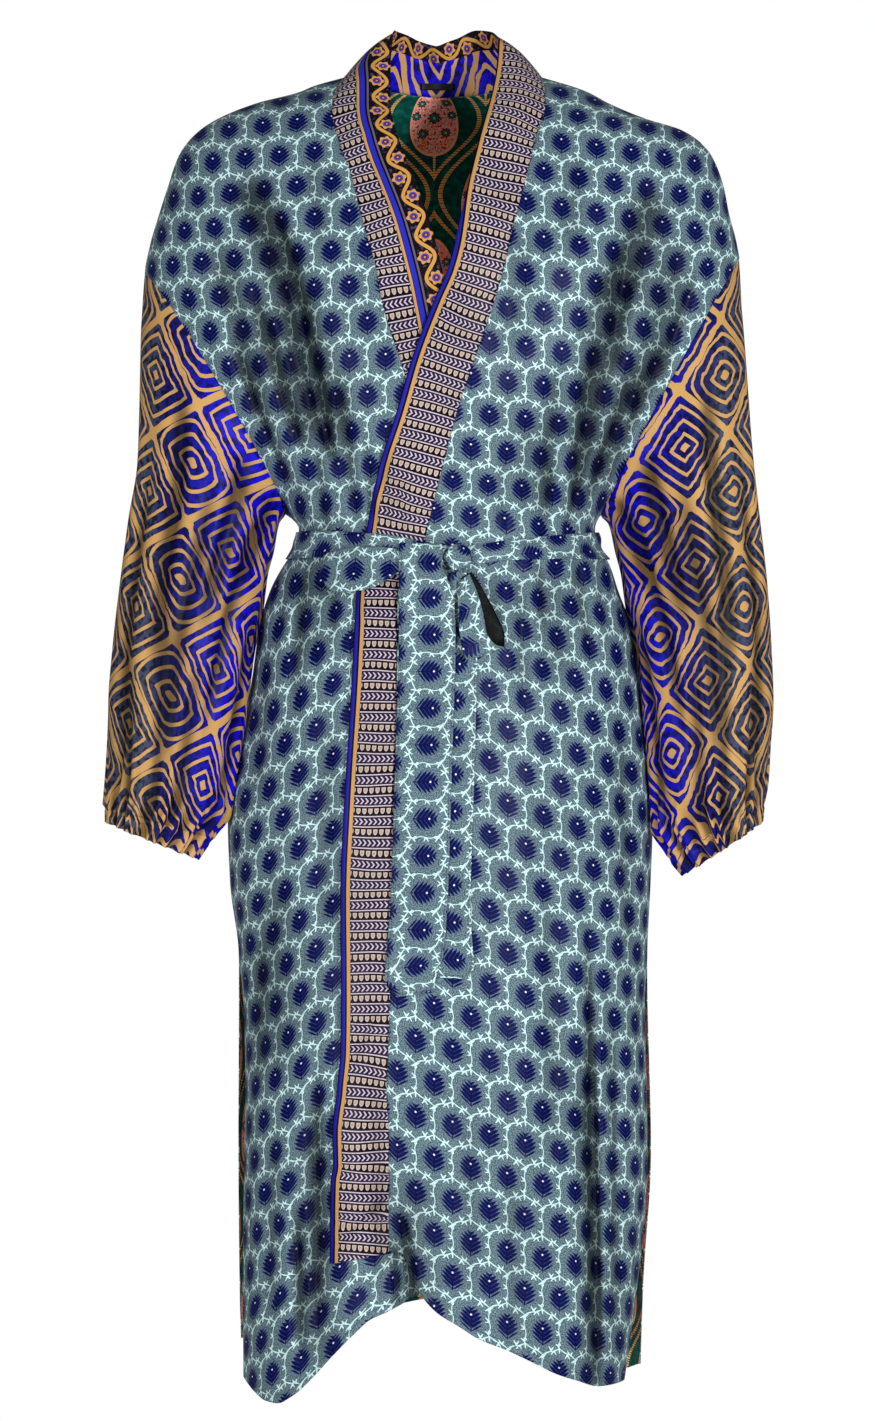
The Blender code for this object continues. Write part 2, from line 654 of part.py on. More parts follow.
def tube(rings, side, steps, ripple_from, ripple_to):
    """Rings of an arm tube, rippled by gathers towards the wrist."""
    place = np.linspace(0, 1, len(rings["ox"]))
    at = {k: curve(place, v) for k, v in rings.items()}
    around = np.arange(2 * GATHERS) * np.pi / GATHERS
    hole = ARMHOLE[side]
    points = []
    for s in np.linspace(0, 1, steps + 1):
        ox, oz, ix, iz, mid, front, back = (float(at[k](s)) for k in rings)
        ring = dict(top=(ox, oz), under=(ix, iz), front=front, back=back,
                    lean=hole["lean"] * max(0.0, 1 - 2 * s) if ripple_from > 0 else 0.0)
        x, y, z = ring_point(ring, around)
        p = np.stack([x, y + mid, z], axis=1)
        middle = p.mean(axis=0)
        out = p - middle
        out = out / np.linalg.norm(out, axis=1, keepdims=True)
        ripple = GATHER_DEPTH * ease((s - ripple_from) / max(1e-6, ripple_to - ripple_from))
        points.append(p + out * (ripple * np.cos(GATHERS * around))[:, None])
    return np.array(points)


for side, names in ((RIGHT, ("sleeve_left", "cuff_left")), (LEFT, ("sleeve_right", "cuff_right"))):
    sleeve = tube(SLEEVE[side], side, 12, 0.55, 0.95)
    sleeve[0] = np.stack(ring_point(ARMHOLE[side], np.arange(2 * GATHERS) * np.pi / GATHERS), axis=1)
    sleeve[0, :, 1] += side_y(sleeve[0, :, 2])
    sleeve[1, :, 1] += 0.7 * side_y(sleeve[0, :, 2])
    sleeve[2, :, 1] += 0.4 * side_y(sleeve[0, :, 2])
    n = normals(sleeve, wrap=True)
    middle = sleeve.mean(axis=1, keepdims=True)
    n = n * np.sign(np.sum(n * (sleeve - middle), axis=2).mean())
    n[0] = flatten(n[0], ring_normal(side))
    thick = np.full(sleeve.shape[:2], WALL)
    thick[0] = WALL * 1.15
    sleeve_in = sleeve - n * thick[..., None]
    for points in (sleeve, sleeve_in):
        points[0] += ring_normal(side) * SEAM / 2
        trim_to_ring(points, side, 1)
    wrist_out, wrist_in = sleeve[-1].copy(), sleeve_in[-1].copy()
    solid(names[0], sleeve, sleeve_in, DIAMOND, wrap=True)
    cuff = tube(CUFF[side], side, 3, -2.0, -1.0)
    shift = wrist_out - cuff[0]
    cuff[0] += shift
    n = normals(cuff, wrap=True)
    middle = cuff.mean(axis=1, keepdims=True)
    n = n * np.sign(np.sum(n * (cuff - middle), axis=2).mean())
    cuff_in = cuff - n * WALL
    cuff_in[0] = wrist_in
    down = cuff[-1].mean(axis=0) - cuff[0].mean(axis=0)
    down = down / np.linalg.norm(down)
    for points in (cuff, cuff_in):
        points[0] += down * SEAM
    solid(names[1], cuff, cuff_in, DIAMOND, wrap=True)

# Belt: middle height and half height by the turn round the waist, 0 at the front.
BELT = table(
    "turn z high",
    (-180, -412, 12), (-120, -412, 12), (-90, -412, 12), (-60, -412, 12), (-25, -416, 12),
    (6, -423, 8), (25, -418, 9), (55, -414, 11), (90, -412, 12), (120, -412, 12), (180, -412, 12),
)
BELT_STEPS = 44
BELT_AIR = 2.2
BELT_WALL = 2.0


def waist_surface(x, z, face):
    """Outer face of the robe at the waist, with the top front's extra height."""
    y = body_y(x, z, face)
    if face == FRONT:
        y = y - over_layer(x, z)
    return y


turns = np.radians(np.arange(BELT_STEPS) * 360 / BELT_STEPS - 180)
belt_z = curve(np.radians(BELT["turn"]), BELT["z"])(turns)
belt_high = curve(np.radians(BELT["turn"]), BELT["high"])(turns)
rows = []
for across in np.linspace(1, -1, 4):
    z = belt_z + belt_high * across
    x = np.where(np.sin(turns) < 0, half[LEFT](z), half[RIGHT](z)) * np.sin(turns)
    y = np.where(np.cos(turns) > 0, waist_surface(x, z, FRONT), waist_surface(x, z, BACK))
    rows.append(np.stack([x, y, z], axis=1))
belt = np.array(rows)
n = normals(belt, wrap=True)
n = n * np.sign(np.sum(n * (belt - belt.mean(axis=1, keepdims=True)), axis=2).mean())
n = flatten(n, (0, 0, 1))
belt_out = belt + n * (BELT_AIR + BELT_WALL)
belt_in = belt + n * BELT_AIR
solid("belt_waist", belt_out, belt_in, TRELLIS, wrap=True)

# Bow. Each strip is a table of rows: its two edges in front view and how far its
# inner face stands off the robe.
TAIL_FRONT = table(
    "x0 z0 x1 z1 off",
    (-38, -412, -2, -413, 8.5),
    (-39, -417, 0, -419, 10.5),
    (-39, -428, -1, -432, 10.5),
    (-39, -445, 4, -445, 9.6),
    (-39, -470, 10, -468, 7.0),
    (-39, -503, 11, -503, 3.6),
    (-42, -600, 8, -600, 3.0),
    (-46, -726, 4, -726, 3.0),
    (-50, -776, 0, -776, 3.0),
    (-51, -795, -4, -786, 3.0),
    (-41, -812, -10, -808, 3.0),
)
TAIL_BACK = table(
    "x0 z0 x1 z1 off",
    (7, -437.5, 20, -437.5, 4.4),
    (5, -446, 22, -446, 4.0),
    (0, -470, 26, -470, 2.4),
    (-16, -510, 30, -510, 0.9),
    (-20, -600, 28, -600, 0.9),
    (-22, -726, 24, -726, 0.9),
    (-18, -780, 27, -784, 0.9),
    (-14, -794, 20, -796, 0.9),
)
LOOP_LEFT = table(
    "x0 z0 x1 z1 off",
    (0, -418, 0, -432, 5.2),
    (-20, -417, -20, -436, 5.2),
    (-40, -417, -42, -440, 5.2),
    (-66, -415, -66, -452, 5.2),
    (-86, -416, -92, -455, 5.4),
    (-100, -420, -106, -447, 6.4),
    (-105, -422, -111, -444, 9.4),
    (-100, -420, -106, -448, 12.4),
    (-86, -416, -93, -456, 13.4),
    (-64, -415, -66, -453, 12.0),
    (-46, -417, -46, -442, 9.0),
    (-40, -418, -42, -439, 7.4),
    (-20, -419, -20, -434, 7.2),
    (0, -420, 0, -431, 7.2),
)
LOOP_RIGHT = table(
    "x0 z0 x1 z1 off",
    (25, -438, 16, -443, 6.4),
    (33, -450, 15, -462, 5.4),
    (46, -474, 16, -486, 4.2),
    (54, -494, 18, -504, 4.0),
    (54, -504, 22, -516, 6.0),
    (52, -502, 20, -515, 9.5),
    (50, -492, 16, -502, 11.0),
    (42, -472, 14, -484, 11.0),
    (30, -450, 14, -462, 10.0),
    (25, -439, 15, -446, 9.4),
)


def strip(name, rows, cells, steps, wall=THIN):
    """Thin strip between two edge lines, standing off the robe's outer face."""
    place = np.linspace(0, 1, len(rows["x0"]))
    s = np.linspace(0, 1, steps + 1)
    at = {k: curve(place, v)(s) for k, v in rows.items()}
    t = np.linspace(0, 1, cells + 1)[None]
    x = at["x0"][:, None] * (1 - t) + at["x1"][:, None] * t
    z = at["z0"][:, None] * (1 - t) + at["z1"][:, None] * t
    y = waist_surface(x, z, FRONT) - at["off"][:, None] - wall / 2
    middle = np.stack([x, y, z], axis=2)
    n = normals(middle)
    n = n * np.sign(-n[0, 0, 1])
    return solid(name, middle + n * wall / 2, middle - n * wall / 2, TRELLIS)


strip("tail_front", TAIL_FRONT, 4, 18)
strip("tail_back", TAIL_BACK, 4, 14)
strip("bow_loop_left", LOOP_LEFT, 3, 24)
strip("bow_loop_right", LOOP_RIGHT, 3, 20)

KNOT = dict(x=13.5, z=-425.0, wide=12.0, high=11.0, deep=5.5, off=10.4, pinch=0.35)
up = np.radians(np.linspace(80, -80, 6))[:, None]
round_ = np.radians(np.arange(10) * 36)[None]
knot_y = float(waist_surface(np.array(KNOT["x"]), np.array(KNOT["z"]), FRONT)) - KNOT["off"]
belly = np.cos(up) ** 0.6 * (1 - KNOT["pinch"] * np.sin(up) ** 2 * np.cos(up))
knot = np.stack([
    KNOT["x"] + KNOT["wide"] * belly * np.sin(round_),
    knot_y + KNOT["deep"] * belly * np.cos(round_),
    KNOT["z"] + KNOT["high"] * np.sin(up) * np.ones_like(round_),
], axis=2)
centre = np.array([KNOT["x"], knot_y, KNOT["z"]])
solid("belt_knot", knot, centre + (knot - centre) * 0.7, TRELLIS, wrap=True)
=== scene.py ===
"""Kimono robe in printed silk, as worn, with nobody in it: the looks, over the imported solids.

Sizes are millimetres in the tables and metres in the meshes. Z is up, the front faces -Y.
"""
import bpy
import numpy as np
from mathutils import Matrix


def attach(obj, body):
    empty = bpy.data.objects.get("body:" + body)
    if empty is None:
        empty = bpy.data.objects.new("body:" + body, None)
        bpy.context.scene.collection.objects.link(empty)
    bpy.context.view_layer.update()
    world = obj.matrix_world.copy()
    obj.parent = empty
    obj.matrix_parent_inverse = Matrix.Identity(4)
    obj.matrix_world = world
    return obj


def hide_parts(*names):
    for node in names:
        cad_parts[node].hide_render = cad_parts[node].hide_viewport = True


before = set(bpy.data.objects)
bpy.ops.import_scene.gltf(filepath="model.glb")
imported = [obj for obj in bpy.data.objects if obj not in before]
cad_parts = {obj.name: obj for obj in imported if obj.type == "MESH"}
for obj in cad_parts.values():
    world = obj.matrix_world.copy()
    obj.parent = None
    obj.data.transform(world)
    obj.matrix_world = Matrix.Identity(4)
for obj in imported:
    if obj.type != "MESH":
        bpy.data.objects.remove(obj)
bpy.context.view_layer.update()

# Back panel.
# One piece of printed silk from the shoulder seams to the hem, lined in a teal print, with
# open slits at the sides. It hangs from the shoulders and is drawn in by the belt.
FRONT, BACK = -1, 1
LEFT, RIGHT = -1, 1   # viewer's left and right
NECK_X = 88.5
NECK_Z = 10.0         # seam beside the neck, where the rows of a panel begin
SHOULDER_X = 231.3
SHOULDER_Z = -49.6    # outer end of the shoulder line
SHOULDER_FALL = 0.5   # slope of the line beyond its end
ROWS_SETTLE = 400.0   # below the neck by this much, rows no longer follow the shoulder
SLIT_TOP = -783.0
HEM_START = -900.0
HEM_LEVEL = -1180.0
CLOTH = 0.8           # thickness of silk and lining together
STITCH_IN = 7.0       # hem stitches, in from the edge
UNSTITCHED = 500.0    # added to the distance from an edge that has no hem


def table(names, *rows):
    """Columns of a table by name."""
    return dict(zip(names.split(), np.array(rows, float).T))


def curve(xs, ys):
    """Smooth line through points that never overshoots them, level beyond its ends."""
    order = np.argsort(xs)
    xs = np.asarray(xs, float)[order]
    ys = np.asarray(ys, float)[order]
    step = np.diff(xs)
    slope = np.diff(ys) / step
    tangent = np.zeros_like(ys)
    near = 2 * step[1:] + step[:-1]
    far = step[1:] + 2 * step[:-1]
    with np.errstate(divide="ignore", invalid="ignore"):
        mean = (near + far) / (near / slope[:-1] + far / slope[1:])
    tangent[1:-1] = np.where(slope[1:] * slope[:-1] > 0, mean, 0.0)
    tangent[0] = slope[0]
    tangent[-1] = slope[-1]

    def value(x):
        x = np.clip(np.asarray(x, float), xs[0], xs[-1])
        k = np.clip(np.searchsorted(xs, x) - 1, 0, len(xs) - 2)
        t = (x - xs[k]) / step[k]
        rise = t * t * (3 - 2 * t)
        return (ys[k] * (1 - rise) + ys[k + 1] * rise
                + step[k] * t * (1 - t) * ((1 - t) * tangent[k] - t * tangent[k + 1]))
    return value


def ease(t):
    """Smooth step from 0 to 1."""
    t = np.clip(t, 0.0, 1.0)
    return t * t * (3 - 2 * t)


def trough(across, along, past, blend):
    """Bell-shaped trough, 1 deep at its middle. across is the distance from its line in half
    widths, along the place on the line from 0 to 1; it fades out a little past both ends."""
    fade = ease((along + past) / blend) * ease((1 + past - along) / blend)
    return fade * np.exp(-across ** 2)


def above(z, start, run):
    """1 above the height start, eased to 0 over this run below it."""
    return 1 - ease((start - z) / run)


# Level slices of the worn body: height, half widths, depths forward and back of the side
# line, y of the side line, and how square the slice is.
BODY = table(
    "z left right front back side square",
    (10, 88.5, 88.5, 20, 24, 3, 2.0),
    (2, 117, 116, 34, 48, 4, 2.0),
    (-3, 129, 130, 42, 58, 5, 2.0),
    (-13, 168, 149, 54, 66, 6, 2.0),
    (-27, 203, 183, 66, 74, 7, 2.0),
    (-37, 219, 215, 72, 78, 8, 2.0),
    (-49, 231, 233, 80, 82, 9, 2.0),
    (-62, 239, 243, 87, 85, 9, 2.0),
    (-88, 248, 253, 100, 90, 10, 2.0),
    (-113, 256, 258, 109, 94, 10, 2.0),
    (-140, 264, 265, 116, 97, 11, 2.0),
    (-168, 269, 269, 121, 98, 11, 2.0),
    (-250, 240, 240, 125, 95, 11, 2.0),
    (-330, 200, 200, 113, 85, 10, 2.0),
    (-384, 140, 142, 99, 76, 8, 2.05),
    (-396, 130, 137, 96, 74, 7, 2.1),
    (-411, 130, 138, 94, 74, 6, 2.1),
    (-427, 142, 149, 97, 79, 6, 2.1),
    (-453, 156, 158, 103, 88, 6, 2.1),
    (-483, 165, 169, 109, 97, 6, 2.15),
    (-531, 172, 177, 116, 107, 6, 2.2),
    (-571, 179, 182, 120, 112, 6, 2.2),
    (-601, 186, 186, 122, 114, 6, 2.2),
    (-650, 194, 189, 125, 114, 6, 2.2),
    (-713, 192, 187, 126, 113, 6, 2.2),
    (-783, 184, 184, 127, 112, 6, 2.2),
    (-960, 185, 188, 128, 110, 6, 2.2),
    (-1082, 184, 181, 128, 109, 6, 2.2),
    (-1180, 181, 178, 127, 108, 6, 2.2),
)
# Open side slits: how far the front edge lies in, and how far each edge stands off.
SLIT = table(
    "z inset_left inset_right part",
    (-783, 0, 0, 0),
    (-832, 5, 3, 7),
    (-904, 7, 4, 14),
    (-1040, 5, 5, 20),
    (-1100, 4, 9, 21),
    (-1180, 2, 18, 22),
)
ARMHOLE = {
    LEFT: dict(top=(-269.0, -168.0), under=(-142.0, -383.0), front=64.0, back=60.0, lean=0.13),
    RIGHT: dict(top=(267.0, -155.0), under=(142.0, -384.0), front=64.0, back=60.0, lean=0.05),
}
# Folds and creases of each face: the line from start to end in front view, half width and
# depth. A ridge has a depth below nought.
LINE = "x0 z0 x1 z1 wide deep"
FOLDS = {
    FRONT: table(
        LINE,
        (-180, -80, -138, -180, 20, 9), (-140, -165, -104, -330, 20, 11),
        (-205, -140, -158, -300, 17, 6), (192, -90, 152, -200, 20, 8),
        (152, -170, 122, -350, 24, 7), (214, -135, 170, -300, 17, 6), (78, -300, 72, -390, 18, 4),
        (-112, -424, -120, -520, 17, 4), (96, -424, 108, -540, 18, 4),
        (124, -860, 136, -1190, 13, 6.5), (-150, -690, -152, -900, 18, 5),
        (-30, -960, -22, -1130, 28, 4), (-118, -900, -108, -1160, 18, 5),
    ),
    BACK: table(
        LINE,
        (-150, -110, -96, -370, 24, 8), (150, -110, 98, -370, 24, 8), (-60, -270, -48, -400, 18, 4),
        (8, -250, 4, -400, 18, 4), (66, -270, 50, -400, 18, 4), (-86, -424, -104, -640, 19, 6),
        (-24, -424, -34, -620, 18, 5), (36, -424, 42, -600, 18, 5), (92, -424, 112, -650, 19, 6),
        (-70, -700, -84, -1160, 20, 8), (20, -680, 26, -1120, 20, 7),
        (100, -720, 116, -1170, 18, 8),
    ),
}
CREASES = {
    FRONT: table(
        LINE,
        (-150, -120, -122, -230, 7, 7), (-128, -210, -96, -345, 6, 8.6),
        (-168, -190, -126, -330, 7, 8.1), (-190, -230, -132, -372, 6, 7),
        (-210, -190, -172, -290, 8, -2.8), (-92, -262, -78, -392, 6, 5.9),
        (-70, -318, -62, -400, 5, 4.3), (-52, -330, -48, -402, 5, 3.8),
        (-112, -330, -106, -404, 5, 5.4), (-40, -352, -36, -404, 4, 3.2),
        (100, -250, 88, -392, 7, 4.9), (136, -240, 116, -384, 7, 7.6),
        (164, -150, 148, -260, 8, 5.9), (170, -260, 126, -382, 6, 7.6),
        (192, -240, 140, -378, 6, 5.9), (52, -330, 50, -404, 5, 3.5), (32, -342, 34, -404, 5, 3),
        (96, -340, 92, -404, 4, 3.8), (118, -350, 112, -404, 4, 3.8),
        (226, -170, 190, -270, 7, 5.4), (-136, -422, -150, -500, 6, 4.9),
        (-96, -422, -100, -496, 5, 4.1), (-76, -424, -78, -480, 5, 3.2),
        (-124, -422, -134, -560, 6, 4.9), (44, -426, 46, -500, 6, 3.5),
        (66, -424, 72, -560, 7, 4.3), (84, -422, 90, -486, 5, 3.8), (118, -420, 132, -520, 6, 4.9),
        (134, -420, 152, -500, 5, 4.3), (-104, -560, -106, -760, 10, 4.3),
        (-160, -500, -168, -640, 8, 4.9), (-164, -760, -166, -900, 7, 5.9),
        (-130, -1000, -126, -1130, 6, 6.5), (-113, -860, -111, -1100, 6, 5.1),
        (-57, -818, -82, -874, 3, 2.6), (-50, -987, -92, -1029, 3, 2.6),
        (-60, -870, -58, -1080, 9, 3.5), (-152, -930, -156, -1110, 7, 4.9),
        (-36, -1000, -24, -1100, 5, 7), (-44, -1020, -40, -1090, 4, 4.9),
        (20, -900, 26, -1080, 12, 3.5), (62, -960, 64, -1120, 10, 3.8),
        (92, -700, 98, -960, 12, 4.1), (128, -740, 137, -1150, 5, 8.4),
        (150, -820, 156, -1140, 6, 5.9), (116, -980, 118, -1150, 7, -2.5),
        (158, -560, 168, -800, 8, 5.4), (66, -130, 60, -240, 14, 3.8),
        (120, -60, 112, -150, 10, 4.3), (-120, -60, -108, -150, 10, 4.3),
    ),
    BACK: table(
        LINE,
        (-170, -150, -120, -330, 8, 6.3), (-120, -250, -92, -384, 6, 5.8),
        (-84, -290, -74, -400, 6, 4.6), (-34, -310, -30, -404, 5, 3.6),
        (-10, -300, -10, -404, 6, 3.9), (30, -320, 28, -404, 5, 3.4), (86, -290, 74, -400, 6, 4.6),
        (124, -240, 96, -384, 6, 6.1), (176, -150, 122, -330, 8, 5.8),
        (-60, -424, -68, -540, 6, 4.3), (-8, -424, -10, -520, 6, 3.6), (64, -424, 74, -560, 6, 4.3),
        (118, -424, 134, -560, 6, 4.2), (-120, -424, -138, -540, 6, 4.6),
        (-110, -800, -124, -1140, 7, 5.8), (-44, -820, -50, -1080, 8, 4.3),
        (56, -800, 64, -1100, 8, 4.9), (138, -820, 146, -1150, 7, 5.4), (0, -60, 2, -200, 14, 3.6),
    ),
}

half = {LEFT: curve(BODY["z"], BODY["left"]), RIGHT: curve(BODY["z"], BODY["right"])}
depth = {FRONT: curve(BODY["z"], BODY["front"]), BACK: curve(BODY["z"], BODY["back"])}
side_y = curve(BODY["z"], BODY["side"])
square = curve(BODY["z"], BODY["square"])
inset = {LEFT: curve(SLIT["z"], SLIT["inset_left"]), RIGHT: curve(SLIT["z"], SLIT["inset_right"])}
part = curve(SLIT["z"], SLIT["part"])
LEVELS = np.linspace(HEM_LEVEL, NECK_Z, 2381)


def arm_ring(ox, oz, ix, iz, front, back, angle, lean):
    """Points of a ring round an arm: angle 0 is its outer end, 180 degrees the underarm, front
    first. It is a half round of its own depth in front and behind, tipped by its lean."""
    along = (1 - np.cos(angle)) / 2
    y = -np.sin(angle) * np.where(np.sin(angle) > 0, front, back)
    run_x, run_z = ix - ox, iz - oz
    tip = y * lean / np.hypot(run_x, run_z)
    return ox + run_x * along + run_z * tip, y, oz + run_z * along - run_x * tip


def outer_limits(side, face):
    """Half width and stand-off of a panel's outer edge at every level."""
    hole = ARMHOLE[side]
    x = half[side](LEVELS)
    y = np.zeros_like(x)
    ring_x, ring_y, ring_z = arm_ring(*hole["top"], *hole["under"], hole["front"], hole["back"],
                                      np.linspace(0, np.pi, 721) * -face, -side * hole["lean"])
    ring_z = np.minimum.accumulate(ring_z)
    inside = (LEVELS <= hole["top"][1]) & (LEVELS >= hole["under"][1])
    x[inside] = np.abs(np.interp(LEVELS[inside], ring_z[::-1], ring_x[::-1]))
    y[inside] = np.abs(np.interp(LEVELS[inside], ring_z[::-1], ring_y[::-1]))
    slit = LEVELS < SLIT_TOP
    y[slit] = part(LEVELS[slit])
    if face == FRONT:
        x[slit] -= inset[side](LEVELS[slit])
    return x, y


EDGE = {(s, f): outer_limits(s, f) for s in (LEFT, RIGHT) for f in (FRONT, BACK)}
REACH = {}
for key, (edge_x, edge_y) in EDGE.items():
    power = square(LEVELS)
    share = np.clip(edge_y / depth[key[1]](LEVELS), 0, 0.95)
    REACH[key] = edge_x / (1 - share ** power) ** (1 / power)


def cloth_y(x, z, face, tables=(FOLDS, CREASES)):
    """Depth of the worn cloth at a point of the front view: rounded slices, less each fold's
    bell-shaped trough. Folds die out towards the outer edge."""
    reach = np.where(x < 0, np.interp(z, LEVELS, REACH[(LEFT, face)]),
                     np.interp(z, LEVELS, REACH[(RIGHT, face)]))
    power = square(z)
    full = (1 - np.clip(np.abs(x) / reach, 0, 1) ** power) ** (1 / power)
    y = side_y(z) + face * depth[face](z) * full
    room = np.minimum(1, 1.6 * full)
    for lines in tables:
        for x0, z0, x1, z1, wide, deep in zip(*lines[face].values()):
            run_x, run_z = x1 - x0, z1 - z0
            length = np.hypot(run_x, run_z)
            along = ((x - x0) * run_x + (z - z0) * run_z) / length ** 2
            across = ((x - x0) * run_z - (z - z0) * run_x) / length
            y = y - face * deep * trough(across / wide, along, 0.12, 0.35) * room
    return y


def sunk_in(x, z, face):
    """How deep a point lies in the folds, in mm, by which the silk paints shade into its colour."""
    return face * (cloth_y(x, z, face, ()) - cloth_y(x, z, face))


def ridge_z(x):
    """Height of the shoulder line, level over the neck and sloping on past the shoulder."""
    out = np.zeros_like(np.asarray(x, float))
    high = LEVELS > SHOULDER_Z
    for side in (LEFT, RIGHT):
        z = np.interp(-np.abs(x), -half[side](LEVELS[high]), LEVELS[high])
        beyond = np.maximum(0, np.abs(x) - SHOULDER_X)
        out = np.where(np.sign(x) == side, z - SHOULDER_FALL * beyond, out)
    return np.where(np.abs(x) <= NECK_X, NECK_Z, out)


def row_z(x, level, hem):
    """Height along a row: it follows the shoulder near the top and the hem near the foot."""
    z = level + above(level, NECK_Z, ROWS_SETTLE) * (ridge_z(x) - NECK_Z)
    drop = np.maximum(0.0, (level - HEM_START) / (HEM_LEVEL - HEM_START))
    return np.where(drop > 0, HEM_START + (hem(x) - HEM_START) * drop, z)


EDGE_SEARCH = (85.0, 285.0, 1601)    # where outer edges may lie, and in how many places tried


def row_ends(levels, hem, side, face):
    """Where each row meets the outer edge of its panel: the first crossing along x."""
    x = np.linspace(*EDGE_SEARCH)[None]
    z = row_z(side * x, levels[:, None], hem)
    over = x - np.interp(z, LEVELS, EDGE[(side, face)][0])
    k = np.argmax(over > 0, axis=1)
    j = np.arange(len(levels))
    a, b = over[j, k - 1], over[j, k]
    end = x[0, k] - b * (x[0, k] - x[0, k - 1]) / (b - a)
    return np.where(levels >= NECK_Z, SHOULDER_X, end)


def running(step, axis=0):
    """Running sum of steps along an axis, from nought."""
    return np.insert(np.cumsum(step, axis=axis), 0, 0.0, axis=axis)


def lengths(points, axis=0):
    """Running length of the lines of points along an axis."""
    return running(np.linalg.norm(np.diff(points, axis=axis), axis=-1), axis)


def joined(*parts):
    """Grid of points, or of places on a cut, from arrays of each of their coordinates."""
    return np.stack(np.broadcast_arrays(*parts), axis=-1)


# Map of lengths over the cloth: half width, foot, step, and the level above which widths
# stay those of that level.
MAP_REACH = 290.0
MAP_FOOT = -1186.0
MAP_STEP = 2.0
MAP_WIDEST = -75.0
SETTLED_ROW = 30      # first row that the shoulder's slope no longer spreads


def arc_map(face, print_fall):
    """Cloth lengths over the front view: out from the middle at each height, as running sums
    of small steps over the surface, and down beside the neck. print_fall gives, by height,
    how steeply the rows of the print fall away outwards."""
    x = np.arange(-MAP_REACH, MAP_REACH + 1, MAP_STEP)
    z = np.arange(NECK_Z, MAP_FOOT, -MAP_STEP)
    y = cloth_y(*np.meshgrid(x, z), face)
    out = running(np.hypot(MAP_STEP, np.diff(y, axis=1)), axis=1)
    out = out - out[:, len(x) // 2:len(x) // 2 + 1]
    beside = cloth_y(np.full_like(z, NECK_X), z, face)
    down = running(np.hypot(MAP_STEP, np.diff(beside)))
    slope = curve(print_fall["z"], print_fall["slope"])

    def cut(px, pz, reach):
        """Place on the flat cut, in metres, of a point of the front view. reach is the
        distance that the print's rows fall along."""
        i = np.clip((px + MAP_REACH) / MAP_STEP, 0, len(x) - 1.001)
        k = np.clip((NECK_Z - np.minimum(pz, MAP_WIDEST)) / MAP_STEP, 0, len(z) - 1.001)
        i0, k0 = i.astype(int), k.astype(int)
        di, dk = i - i0, k - k0
        u = ((out[k0, i0] * (1 - di) + out[k0, i0 + 1] * di) * (1 - dk)
             + (out[k0 + 1, i0] * (1 - di) + out[k0 + 1, i0 + 1] * di) * dk)
        v = np.interp(-pz, -z, down) + slope(pz) * (NECK_X - reach)
        return joined(u, -v) / 1000
    return cut


def over_ridge(flat, points):
    """The cut with its rows spread over the shoulder, where the cloth runs back more than
    down: above the settled row, lengths down the cloth are its own."""
    extra = lengths(points[..., 1:]) / 1000 + flat[..., 1] - flat[:1, :, 1]
    spread = flat.copy()
    spread[:SETTLED_ROW, :, 1] -= (extra - extra[SETTLED_ROW])[:SETTLED_ROW]
    return spread


def closed(grid):
    """The grid with its first column again at its end."""
    return np.concatenate([grid, grid[:, :1]], axis=1)


def normals(points, way, wrap=False, judged=slice(None)):
    """Unit normals of a grid of points, found from its two directions and turned to the side
    that way points to, as judged on these rows."""
    if wrap:
        wide = np.concatenate([points[:, -1:], closed(points)], axis=1)
        across = (wide[:, 2:] - wide[:, :-2]) / 2
    else:
        across = np.gradient(points, axis=1)
    n = np.cross(across, np.gradient(points, axis=0))
    n = n / np.maximum(np.linalg.norm(n, axis=2, keepdims=True), 1e-9)
    return n * np.sign(np.sum(n * way, axis=2)[judged].mean())


def corners(grid):
    """Four corners of each cell of a grid, in order round it."""
    cell = grid[:-1, :-1], grid[:-1, 1:], grid[1:, 1:], grid[1:, :-1]
    return np.stack(cell, axis=-1).reshape(-1, 4)


